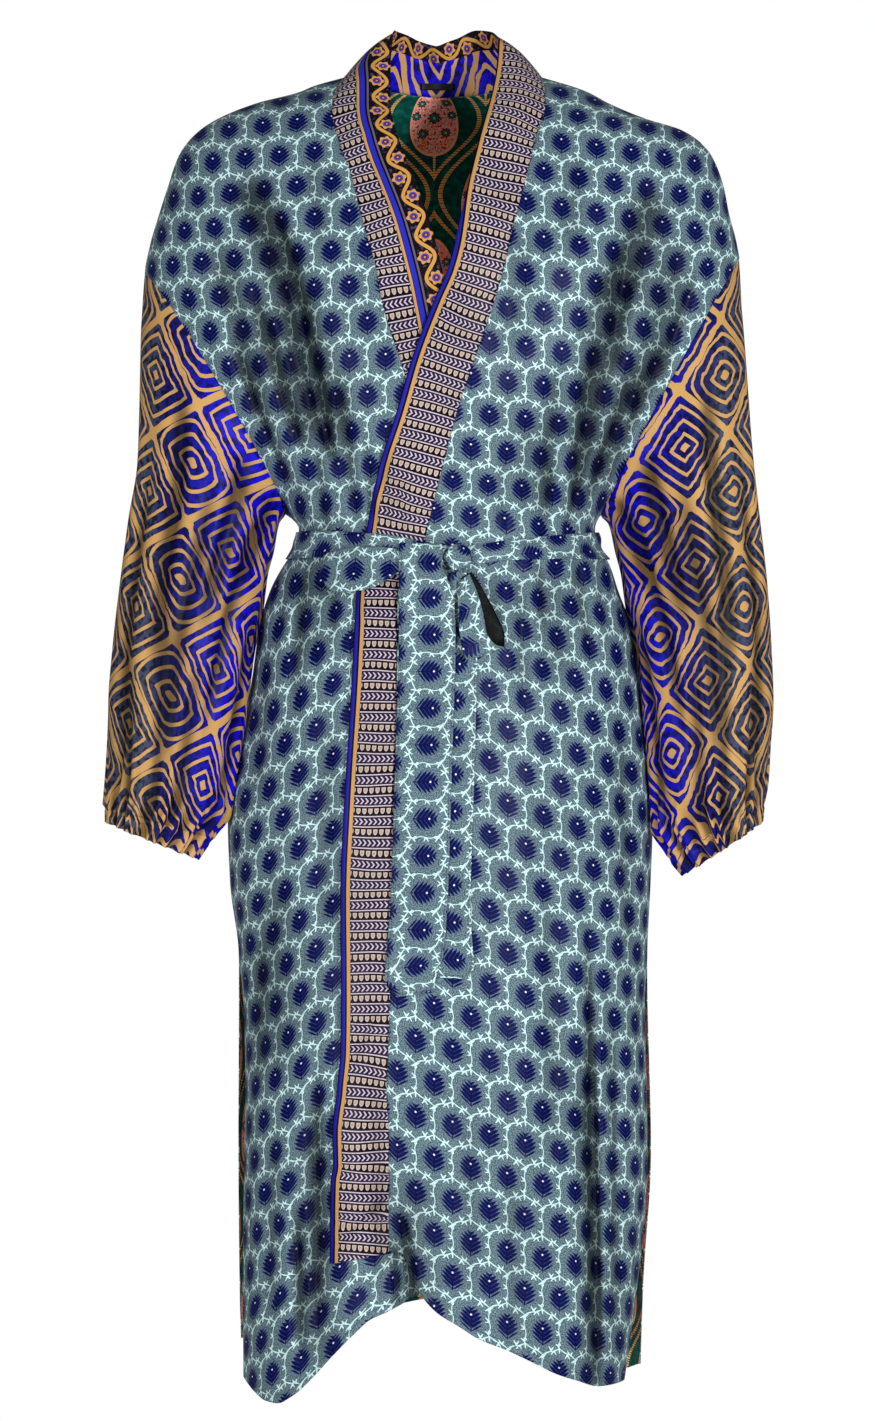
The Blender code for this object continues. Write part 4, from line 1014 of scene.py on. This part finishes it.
# Sleeve silk: large rounded lozenges, ringed in gold on blue and slate.
def lozenge(tree, u, v, where, inward=None, wide=108.0, high=52.0, skew=0.0):
    """Two staggered lattices: in one the rings are round-sided, in the other straight. Rings
    are bands of the distance measure, their edges made uneven by noise. inward is how far in
    a point lies from the line where slate turns to blue, in metres."""
    wobble = noise(tree, where, 55.0) * 9.0 - 4.5
    first, second = lattices(u + wobble, v - wobble * 0.6 - u * skew, wide, high)
    inside = (abs(first[0]) / (wide / 2) + abs(first[1]) / high) < 1.0
    x, y = chosen(second, first, inside)
    ax, ay = abs(x) / (wide / 2), abs(y) / high
    straight = ax + ay
    rounded = (ax.make("POWER", 1.5) + ay.make("POWER", 1.25)).make("POWER", 0.8)
    measure = straight + (rounded - straight) * (inside * 0.55 + 0.35)
    uneven = noise(tree, where, 420.0) * 0.05
    gold = (measure * 4.2 + uneven + 0.10).make("FRACT") < 0.28
    gold = gold.most(straight > 0.92).most(measure < 0.09).most(ax.most(ay) > 0.88)
    blue = (24, 14, 208)
    if inward is not None:
        blue = coats(tree, (24, 26, 104),
                     (inward.soft(0.02, 0.09), blue),
                     (inward.soft(0.022, 0.008), (66, 72, 100)))
    return coats(tree, blue,
                 (noise(tree, where, 150.0, 4.0).soft(0.47, 0.58) * 0.8, (12, 10, 36)),
                 (gold, (206, 160, 96)))


def tall_lozenge(tree, u, v, where):
    """The same rings, cut so that they stand as steep lines in the neck facing."""
    return lozenge(tree, u, v, where, wide=92.0, high=86.0)


shown = slice(COLLAR_CELLS // 3, None), slice(6, -6)    # part of the collar that is faced
print_middle = -1000 * float(collar_cut[COLLAR_CELLS // 2, COLLAR_COLUMNS // 2, 1])
facing = collar[shown] - lie[shown] * FACING_IN
facing_in = facing - lie[shown] * FACING_THICK
facing_piece = cloth("neck_facing_silk", "neck_facing", facing, facing_in, collar_cut[shown][..., ::-1],
                     (silk("facing_silk", tall_lozenge, shift=(print_middle, -8), shade=1.25),))

LABEL = dict(wide=30.0, high=6.0, x=-5.0, foot=4.0, lift=0.9, thick=0.5)


def satin(name, colour):
    """Tightly woven satin: fine threads across, with a soft sheen."""
    look, tree, shader = new_look(name)
    threads = noise(tree, uv_place(tree, "Cut"), 2500.0, 2.0, (0.2, 1, 1))
    tree.links.new(paint(tree, threads * 0.2, colour, (50, 50, 56)), shader.inputs["Base Color"])
    tree.links.new((threads * 0.15 + 0.3).socket, shader.inputs["Roughness"])
    shader.inputs["Specular IOR Level"].default_value = 0.2
    return look


# A flat strip that leans as the foot of the facing does, a little in front of it.
label_x = LABEL["x"] + LABEL["wide"] * np.linspace(-0.5, 0.5, 25)
label_z = LABEL["foot"] + LABEL["high"] * np.linspace(1, 0, 9)[:, None]
low_y, low_z, high_y, high_z = (np.interp(label_x, facing_in[row, :, 0], facing_in[row, :, axis])
                                for row in (-1, -5) for axis in (1, 2))
share = (label_z - low_z) / (high_z - low_z)
label = joined(label_x, low_y + (high_y - low_y) * share - LABEL["lift"], label_z)
label_piece = cloth("label_plain", "label", label - (0, LABEL["thick"], 0), label,
                    label[..., ::2] / 1000, (satin("label_satin", (9, 10, 12)),))

# Sleeves and cuffs.
# Wide straight sleeves set on the dropped armholes, in lozenge silk that turns from blue to
# slate on the outer side, gathered by elastic into short frilled cuffs.
SLEEVE_DEPTH = table(
    "mid front back",
    (0, 64, 60), (0, 65, 62), (-4, 65, 62), (-10, 63, 61), (-16, 61, 60), (-21, 60, 59),
    (-24, 59, 58), (-26, 57, 57), (-27, 53, 53), (-28, 46, 46), (-28, 37, 37),
)
SLEEVE = {
    LEFT: table(
        "ox oz ix iz",
        (-269, -168, -142, -383), (-274, -215, -146, -398), (-275, -270, -149, -420),
        (-277, -334, -156, -445), (-285, -387, -163.5, -474), (-293, -447, -171, -509),
        (-299, -500, -176, -546), (-303, -553, -182, -586), (-303, -596, -188, -622),
        (-303, -628, -195, -652), (-303, -645, -207, -674),
    ),
    RIGHT: table(
        "ox oz ix iz",
        (267, -155, 142, -384), (272, -208, 148, -399), (276, -265, 152, -421),
        (280, -322, 159, -447), (286, -380, 167, -477), (293, -440, 175, -511),
        (297, -497, 180, -548), (299, -550, 184, -590), (295, -592, 187.5, -630),
        (291, -624, 191, -664), (287, -642, 202, -689),
    ),
}
CUFF_DEPTH = table("mid front back", (-28, 37, 37), (-28, 34, 34), (-28, 37, 37))
CUFF = {
    LEFT: table(
        "ox oz ix iz",
        (-303, -645, -207, -674), (-301, -651, -213, -681), (-301, -660, -221, -692),
    ),
    RIGHT: table(
        "ox oz ix iz",
        (287, -642, 202, -689), (286, -649, 207, -696), (285, -660, 216, -706),
    ),
}
# Creases of a sleeve: angle round it at the start and end (0 outer, 90 front), how far down
# it starts and ends, half width in degrees and depth.
SLEEVE_CREASES = table(
    "a0 s0 a1 s1 wide deep",
    (64, 0.10, 70, 0.62, 9, 4.0),
    (94, 0.22, 88, 0.80, 8, 3.4),
    (120, 0.05, 108, 0.50, 9, 4.2),
    (138, 0.16, 122, 0.70, 7, 3.6),
    (152, 0.02, 140, 0.36, 8, 3.2),
    (34, 0.30, 40, 0.86, 9, 3.2),
    (78, 0.50, 80, 0.98, 6, 2.4),
    (108, 0.56, 104, 0.98, 7, 3.0),
    (48, 0.62, 52, 0.98, 6, 2.2),
    (160, 0.40, 150, 0.90, 8, 3.4),
    (172, 0.10, 176, 0.60, 9, 3.0),
    (18, 0.10, 22, 0.50, 9, -2.2),
    (210, 0.08, 222, 0.56, 9, 4.0),
    (238, 0.20, 244, 0.76, 8, 3.4),
    (262, 0.06, 258, 0.50, 9, 3.0),
    (286, 0.30, 280, 0.90, 8, 3.4),
    (310, 0.12, 316, 0.60, 9, 3.0),
    (336, 0.42, 330, 0.96, 8, 2.6),
    (200, 0.56, 206, 0.98, 7, 2.6),
    (252, 0.60, 256, 0.98, 6, 2.4),
)
# Where the slate of the outer side turns to blue.
SLATE_LINE = {
    LEFT: table("z x", (-150, 256), (-260, 268), (-700, 272)),
    RIGHT: table("z x", (-200, 268), (-357, 246), (-425, 252), (-503, 260), (-580, 264), (-700, 272)),
}
AROUND = 240
ALONG = 150
CUFF_STEPS = 20
GATHERS = 26
GATHER_DEPTH = 3.3
GATHER_REACH = 0.34   # how far up the sleeve the longest gathers go, as a share of it
# GATHER_SHADE, SHADE_LOSS and TROUGH_SHADE set painted shade: the silk's colour is darkened at the
# bottoms of the gathers and along the creases.
GATHER_SHADE = 8.0    # how sunk a gather's bottom looks, and how much less for each mm above it
SHADE_LOSS = 1.9
TROUGH_DEPTH = 1.4    # creases are deepened by this, and darkened by the next
TROUGH_SHADE = 2.6
NEAR_SKIRT = 6.5      # how much closer to the skirt the sleeve's inner line comes
GATHERED_WIDTH = 470.0    # least width of the cut, which gathering takes up
ARM_TOP, ARM_LOW = (215.0, 0.0, -275.0), (250.0, 0.0, -660.0)    # the arm's line
CRINKLE = (1.7, 1.2)  # how much the gathers shift the print, across and along
CUFF_PINCH = 0.35     # how much flatter the elastic holds the gathers
CUFF_WAVE = 0.25      # how much the cuff's edge follows its gathers
angle = np.arange(AROUND) * 2 * np.pi / AROUND


def angle_from(centre):
    """Angle of each point round a sleeve from a centre, at most half a turn."""
    return np.abs((angle - centre + np.pi) % (2 * np.pi) - np.pi)


def gathers(s, spread):
    """Sum of bell-shaped gathers: the k-th stands near k turns of the ring, its width, depth and
    reach up the sleeve varied by sines of k, so that no two are alike."""
    total = np.zeros((len(s), AROUND))
    for k in range(GATHERS):
        centre = (k + 0.28 * np.sin(2.3 * k)) * 2 * np.pi / GATHERS
        width = 0.062 * (1 + 0.3 * np.sin(1.7 * k))
        tall = GATHER_DEPTH * (1.5 + 0.6 * np.sin(3.1 * k))
        reach = spread * (0.75 + 0.25 * np.sin(4.7 * k + 1))
        grown = ease((s[:, None] - 1 + reach) / reach)
        total += tall * grown * np.exp(-(angle_from(centre) / width) ** 2)
    return total - GATHER_DEPTH


def gather_shade(shape):
    """Painted shade of the gathers, as a depth in mm: most at their bottom."""
    return GATHER_SHADE - SHADE_LOSS * (shape + GATHER_DEPTH)


def tube(rings, side, s, lean_share):
    """Rings of an arm tube as smooth curves of the place s along it; returns points and the
    outward direction from each ring's middle. lean_share is how much of the armhole's lean
    its upper half keeps."""
    knots = np.linspace(0, 1, len(rings["ox"]))
    ox, oz, ix, iz, mid, front, back = (curve(knots, rings[k])(s) for k in rings)
    lean = -side * ARMHOLE[side]["lean"] * np.maximum(0.0, 1 - 2 * s) * lean_share
    x, y, z = arm_ring(ox, oz, ix, iz, front, back, angle, lean)
    points = joined(x, y + mid, z)
    out = points - points.mean(axis=1, keepdims=True)
    return points, out / np.linalg.norm(out, axis=2, keepdims=True)


def sleeve_cut(points, side):
    """Place on a sleeve's cut: down the arm's line, and round it square to that line from
    the middle of its front. Towards the wrist the cut stays wide, as gathered cloth does."""
    top, low = (np.array(end) * (side, 1, 1) for end in (ARM_TOP, ARM_LOW))
    axis = (low - top) / np.linalg.norm(low - top)
    step = np.diff(closed(points), axis=1)
    step = step - (step @ axis)[..., None] * axis
    around = running(np.linalg.norm(step, axis=2), axis=1)
    across = np.cross(axis, (0, 1, 0))
    off = (points - top) @ (across * np.sign(across[0]) * side)
    front = AROUND // 2
    zero = np.array([np.interp(0, -o[:front], a[:front]) for o, a in zip(off, around)])
    width = around[:, -1:]
    u = (zero[:, None] - around) * (np.maximum(width, GATHERED_WIDTH) / width)
    return joined(u, -closed((points - top) @ axis)) / 1000


def slate_rim(points, side):
    """How far in from the line where slate turns to blue, in metres, for UV map Rim."""
    x, _, z = np.moveaxis(closed(points), 2, 0)
    return joined(curve(*SLATE_LINE[side].values())(z) - side * x, z) / 1000


SLEEVES = (
    (RIGHT, "sleeve_left", "cuff_left", 0.18, (6, 51)),
    (LEFT, "sleeve_right", "cuff_right", 0.45, (51, 38)),
)
for side, sleeve_name, cuff_name, skew, shift in SLEEVES:
    s = np.linspace(0, 1, ALONG + 1)[:, None]
    sleeve, out = tube(SLEEVE[side] | SLEEVE_DEPTH, side, s, 1.0)
    # It starts on the robe's side line, and comes nearer to the skirt below the waist.
    at_seam = np.clip(1 - 6 * s, 0, 1)
    sleeve[..., 1] += side_y(sleeve[..., 2]) * at_seam
    near_robe = ease(5 * s - 1.2) * ease(10 - 10 * s)
    sleeve[..., 0] -= side * NEAR_SKIRT * near_robe * ((1 - np.cos(angle)) / 2) ** 4
    shape = gathers(s[:, 0], GATHER_REACH)
    # Painted shade in the silk's colour: darkest at the bottoms of the gathers and along the creases.
    sunk = ease(s / 0.22 - 3.55) * gather_shade(shape)
    for a0, s0, a1, s1, wide, deep in zip(*SLEEVE_CREASES.values()):
        along = (s - s0) / (s1 - s0)
        off = angle_from(np.radians(a0 + (a1 - a0) * along))
        crease = deep * trough(off / np.radians(wide), along, 0.15, 0.4)
        shape -= crease * TROUGH_DEPTH
        sunk += crease * TROUGH_SHADE
    sleeve += out * (shape * ease(s * 12))[..., None]
    lie = normals(sleeve, out, wrap=True)
    flat = sleeve_cut(sleeve, side)
    taken_up = closed(ease(s / 0.14 - 6.14) * (shape + GATHER_DEPTH)) / 1000
    flat += taken_up[..., None] * CRINKLE

    def sleeve_print(tree, u, v, where):
        """The lozenges, slate on the sleeve's outer side."""
        return lozenge(tree, u, v, where, split(tree, uv_place(tree, "Rim"))[0], skew=skew)

    # The inside face is a copy of the sleeve silk with painted shade, 0.6 times as bright.
    looks = (silk(sleeve_name + "_silk", sleeve_print, shift=shift, shade=1.08),
             silk(sleeve_name + "_inside_painted_shade", sleeve_print, shift=shift, gloss=0.5, shade=0.6))
    piece = cloth(sleeve_name + "_tube", sleeve_name, sleeve, sleeve - lie * CLOTH, flat, looks,
                  wrap=True, rim=slate_rim(sleeve, side), sunk=sunk)

    c = np.linspace(0, 1, CUFF_STEPS + 1)[:, None]
    cuff, out = tube(CUFF[side] | CUFF_DEPTH, side, c, 0.0)
    pinch = CUFF_PINCH * np.sin(np.pi * np.clip(c * 2.2, 0, 1))
    frill = gathers(np.ones(CUFF_STEPS + 1), 1.0) * (1 - pinch)
    cuff += out * frill[..., None]
    cuff += (sleeve[-1] - cuff[0]) * (1 - ease(c * 3))[..., None]
    cuff[..., 2] -= CUFF_WAVE * c * (frill + 0.5 * GATHER_DEPTH)
    lie = normals(cuff, out, wrap=True)
    down = cuff[..., 2].mean(axis=1, keepdims=True)
    cuff_flat = flat[-1:] + joined(0.0, down - down[0]) / 1000
    # The frill's gathers get painted shade at their bottoms, through sunk.
    piece = cloth(cuff_name + "_frill", cuff_name, cuff, cuff - lie * CLOTH, cuff_flat, looks,
                  wrap=True, rim=slate_rim(cuff, side), sunk=gather_shade(frill))

# Belt and bow.
# A long tie of the trellis silk, wound once round the waist and tied in a loose bow. Its
# ends are cut straight and hemmed, and it is soft enough to fold along its length.
BELT = table(
    "turn z high",
    (-180, -412, 12), (-120, -412, 12), (-90, -412, 12), (-60, -412, 12), (-25, -416, 12),
    (6, -423, 8), (25, -418, 9), (55, -414, 11), (90, -412, 12), (120, -412, 12), (180, -412, 12),
)
BELT_HALF = 13.0      # half of the crushed belt's width
BELT_OFF = 3.2        # from the robe to the belt's outer face, before its folds
BELT_THICK = 1.6
BELT_STEPS = 360
BELT_CELLS = 20


def waist_surface(x, z, face):
    """What the tie rests on: the robe's folds without their fine creases."""
    y = cloth_y(x, z, face, (FOLDS,))
    return y - over_layer(x, z) if face == FRONT else y


def belt_trellis(tree, u, v, where):
    """The trellis turned on its side, as on the tie."""
    return trellis(tree, v, u, where)


turns = np.radians(np.arange(BELT_STEPS) * 360 / BELT_STEPS - 180)
across = np.linspace(1, -1, BELT_CELLS + 1)[:, None]
belt_middle, belt_high = (curve(np.radians(BELT["turn"]), BELT[k])(turns) for k in ("z", "high"))
z = belt_middle + belt_high * across
x = np.where(np.sin(turns) < 0, half[LEFT](z), half[RIGHT](z)) * np.sin(turns)
y = np.where(np.cos(turns) > 0, waist_surface(x, z, FRONT), waist_surface(x, z, BACK))
belt = joined(x, y, z)
lie = normals(belt, belt - belt.mean(axis=1, keepdims=True), wrap=True)
lie[..., 2] = 0
lie = lie / np.linalg.norm(lie, axis=2, keepdims=True)
# The belt is rounded across, with two or three long folds that wander and a few crumples.
swell = 1.5 * (1 - across ** 2) + 0.9 * np.sin(3.2 * across + 1.2 * np.sin(3 * turns) + 0.6)
swell = swell + 0.5 * np.sin(9 * turns + 3 * across) * np.cos(5 * turns)
belt = belt + lie * (BELT_OFF + swell)[..., None]
around = lengths(closed(belt)[BELT_CELLS // 2])
belt_silk = silk("belt_silk", belt_trellis, shift=(10, 6))
piece = cloth("belt_round_waist", "belt_waist", belt, belt - lie * BELT_THICK,
              joined(around, across * BELT_HALF) / 1000, (belt_silk,), wrap=True)

TAIL_FRONT = table(
    "x0 z0 x1 z1 off",
    (-38, -412, -2, -413, 8.5),
    (-39, -417, 0, -419, 10.5),
    (-39, -428, -1, -432, 10.5),
    (-39, -445, 4, -445, 9.6),
    (-39, -470, 10, -468, 7.0),
    (-39, -503, 11, -503, 3.6),
    (-42, -600, 8, -600, 3.0),
    (-46, -726, 4, -726, 3.0),
    (-50, -776, 0, -776, 3.0),
    (-51, -795, -4, -786, 3.0),
    (-41, -812, -10, -808, 3.0),
)
TAIL_BACK = table(
    "x0 z0 x1 z1 off",
    (7, -437.5, 20, -437.5, 4.4),
    (5, -446, 22, -446, 4.0),
    (0, -470, 26, -470, 2.4),
    (-16, -510, 30, -510, 0.9),
    (-20, -600, 28, -600, 0.9),
    (-22, -726, 24, -726, 0.9),
    (-18, -780, 27, -784, 0.9),
    (-14, -794, 20, -796, 0.9),
)
LOOP_LEFT = table(
    "x0 z0 x1 z1 off",
    (0, -418, 0, -432, 5.2),
    (-20, -417, -20, -436, 5.2),
    (-40, -417, -42, -440, 5.2),
    (-66, -415, -66, -452, 5.2),
    (-86, -416, -92, -455, 5.4),
    (-100, -420, -106, -447, 6.4),
    (-105, -422, -111, -444, 9.4),
    (-100, -420, -106, -448, 12.4),
    (-86, -416, -93, -456, 13.4),
    (-64, -415, -66, -453, 12.0),
    (-46, -417, -46, -442, 9.0),
    (-40, -418, -42, -439, 7.4),
    (-20, -419, -20, -434, 7.2),
    (0, -420, 0, -431, 7.2),
)
LOOP_RIGHT = table(
    "x0 z0 x1 z1 off",
    (25, -438, 16, -443, 6.4),
    (33, -450, 15, -462, 5.4),
    (46, -474, 16, -486, 4.2),
    (54, -494, 18, -504, 4.0),
    (54, -504, 22, -516, 6.0),
    (48, -503, 20, -515, 9.5),
    (39, -494, 16, -502, 11.0),
    (35, -474, 14, -484, 11.0),
    (28, -451, 14, -462, 10.0),
    (23, -440, 15, -446, 9.4),
)
STRIP_OFF = 0.7       # added to every strip's distance from the robe
STRIP_HALF = 0.45     # half of its thickness


def strip(name, node, rows, cells, steps, looks, creases):
    """Strip of the tie between two edge lines that stands off the robe. Each crease is the
    place across it at its start and end, its reach along it, half width and depth."""
    place = np.linspace(0, 1, len(rows["x0"]))
    s = np.linspace(0, 1, steps + 1)[:, None]
    t = np.linspace(0, 1, cells + 1)
    x0, z0, x1, z1, off = (curve(place, values)(s) for values in rows.values())
    x = x0 * (1 - t) + x1 * t
    z = z0 * (1 - t) + z1 * t
    y = waist_surface(x, z, FRONT) - off - STRIP_OFF
    for t0, t1, s0, s1, wide, deep in creases:
        along = (s - s0) / (s1 - s0)
        y = y + deep * trough((t - t0 - (t1 - t0) * along) / wide, along, 0.1, 0.2)
    middle = joined(x, y, z)
    lie = normals(middle, (0, -1, 0), judged=slice(2, 3)) * STRIP_HALF
    u = lengths(middle, axis=1)
    v = lengths(middle[:, cells // 2])[:, None]
    piece = cloth(name, node, middle + lie, middle - lie, joined(u, -v) / 1000, looks,
                  rim=joined(np.minimum(u, u[:, -1:] - u), v[-1] - v) / 1000)


tail_silk = silk("tail_silk", belt_trellis, shift=(4, 2), stitch=2.2)
strip("tail_front_end", "tail_front", TAIL_FRONT, 28, 130, (tail_silk,),
      ((0.45, 0.36, 0.0, 0.42, 0.10, 2.2), (0.70, 0.62, 0.0, 0.30, 0.07, 1.6),
       (0.2, 0.24, 0.05, 0.5, 0.08, 1.2)))
strip("tail_back_end", "tail_back", TAIL_BACK, 24, 110, (tail_silk,),
      ((0.5, 0.42, 0.0, 0.5, 0.1, 0.8), (0.75, 0.7, 0.0, 0.4, 0.08, 0.6)))
strip("bow_loop_left_fold", "bow_loop_left", LOOP_LEFT, 24, 150, (belt_silk,),
      ((0.5, 0.55, 0.6, 1.0, 0.16, 1.6), (0.25, 0.2, 0.66, 1.0, 0.1, 1.1)))
# Painted shadow: the inner layer of the right loop is drawn almost black, as the shade in the loop's
# open mouth.
painted_shadow_silk = silk("loop_painted_shadow_silk", belt_trellis, shift=(10, 6), shade=0.012)
strip("bow_loop_right_fold", "bow_loop_right", LOOP_RIGHT, 20, 130, (painted_shadow_silk, belt_silk),
      ((0.5, 0.5, 0.55, 1.0, 0.16, 1.4),))

KNOT = dict(x=13.5, z=-425.0, wide=12.0, high=11.0, deep=5.5, off=10.4, pinch=0.35, wall=0.14)
KNOT_AROUND = 96
# An egg, drawn in above and below its middle, with sines of both angles as crumples.
up = np.radians(np.linspace(88, -88, 61))[:, None]
about = np.linspace(0, 2 * np.pi, KNOT_AROUND + 1)
knot_y = float(waist_surface(np.array(KNOT["x"]), np.array(KNOT["z"]), FRONT)) - KNOT["off"]
belly = np.cos(up) ** 0.6 * (1 - KNOT["pinch"] * np.sin(up) ** 2 * np.cos(up))
belly = belly * (1 + 0.05 * np.sin(3 * about + 5 * up) + 0.035 * np.sin(7 * about - 4 * up))
knot = joined(KNOT["x"] + KNOT["wide"] * belly * np.sin(about),
              knot_y + KNOT["deep"] * belly * np.cos(about),
              KNOT["z"] + KNOT["high"] * np.sin(up) * (1 + 0.04 * np.sin(2 * about)))[:, :-1]
centre = np.array([KNOT["x"], knot_y, KNOT["z"]])
knot_piece = cloth("belt_knot_tie", "belt_knot", knot, centre + (knot - centre) * (1 - KNOT["wall"]),
                   joined(about * 10, np.sin(up) * 14) / 1000, (belt_silk,), wrap=True)

# Studio.
# A pale floor and backdrop, two soft lamps in front, a little light from all round, and the
# camera where the photograph was taken from.
CAMERA = dict(x=-5.0, y=-5200.0, z=-560.25, view_high=1278.9)
FLOOR = -1.45
SENSOR = 36.0


def stage_look(name, value):
    """Matt pale paint with a trace of mottling."""
    look, tree, shader = new_look(name)
    where = tree.nodes.new("ShaderNodeTexCoord")
    mottle = noise(tree, where.outputs["Object"], 0.6)
    tree.links.new(paint(tree, mottle, (value,) * 3, (value - 3,) * 3), shader.inputs["Base Color"])
    shader.inputs["Roughness"].default_value = 0.9
    return look


floor_mesh = bpy.data.meshes.new("floor")
floor_corners = [(x, y, FLOOR) for x, y in ((-3, -3), (3, -3), (3, 2), (-3, 2))]
floor_mesh.from_pydata(floor_corners, [], [(0, 1, 2, 3)])
floor_mesh.materials.append(stage_look("floor_paint", 250))
floor = bpy.data.objects.new("floor", floor_mesh)
bpy.context.scene.collection.objects.link(floor)

world = bpy.data.worlds.new("studio")
bpy.context.scene.world = world
world.use_nodes = True
nodes, links = world.node_tree.nodes, world.node_tree.links
soft_light = nodes["Background"]
white_wall = nodes.new("ShaderNodeBackground")
seen = nodes.new("ShaderNodeLightPath")
either = nodes.new("ShaderNodeMixShader")
for ground, strength in ((soft_light, 0.17), (white_wall, 1.0)):
    ground.inputs["Color"].default_value = (1, 1, 1, 1)
    ground.inputs["Strength"].default_value = strength
links.new(seen.outputs["Is Camera Ray"], either.inputs[0])
links.new(soft_light.outputs[0], either.inputs[1])
links.new(white_wall.outputs[0], either.inputs[2])
links.new(either.outputs[0], nodes["World Output"].inputs["Surface"])
bpy.context.scene.view_settings.view_transform = "Standard"

AIM = (0, 0, -0.8)
for name, spot, size, power in (
        ("key_light", (2.2, -4.2, 0.1), 0.8, 132), ("fill_light", (-2.4, -4.0, -0.9), 1.0, 72)):
    light = bpy.data.lights.new(name, "AREA")
    light.size = size
    light.energy = power
    lamp = bpy.data.objects.new(name, light)
    lamp.location = spot
    x, y, z = np.subtract(AIM, spot)
    lamp.rotation_euler = (np.arctan2(np.hypot(x, y), -z), 0, np.arctan2(y, x) - np.pi / 2)
    bpy.context.scene.collection.objects.link(lamp)

lens = bpy.data.cameras.new("camera")
lens.sensor_fit = "VERTICAL"
lens.sensor_height = SENSOR
lens.lens = SENSOR * -CAMERA["y"] / CAMERA["view_high"]
lens.clip_end = 100
camera = bpy.data.objects.new("camera", lens)
camera.location = [CAMERA[k] / 1000 for k in "xyz"]
camera.rotation_euler = (np.pi / 2, 0, 0)
bpy.context.scene.collection.objects.link(camera)
bpy.context.scene.camera = camera
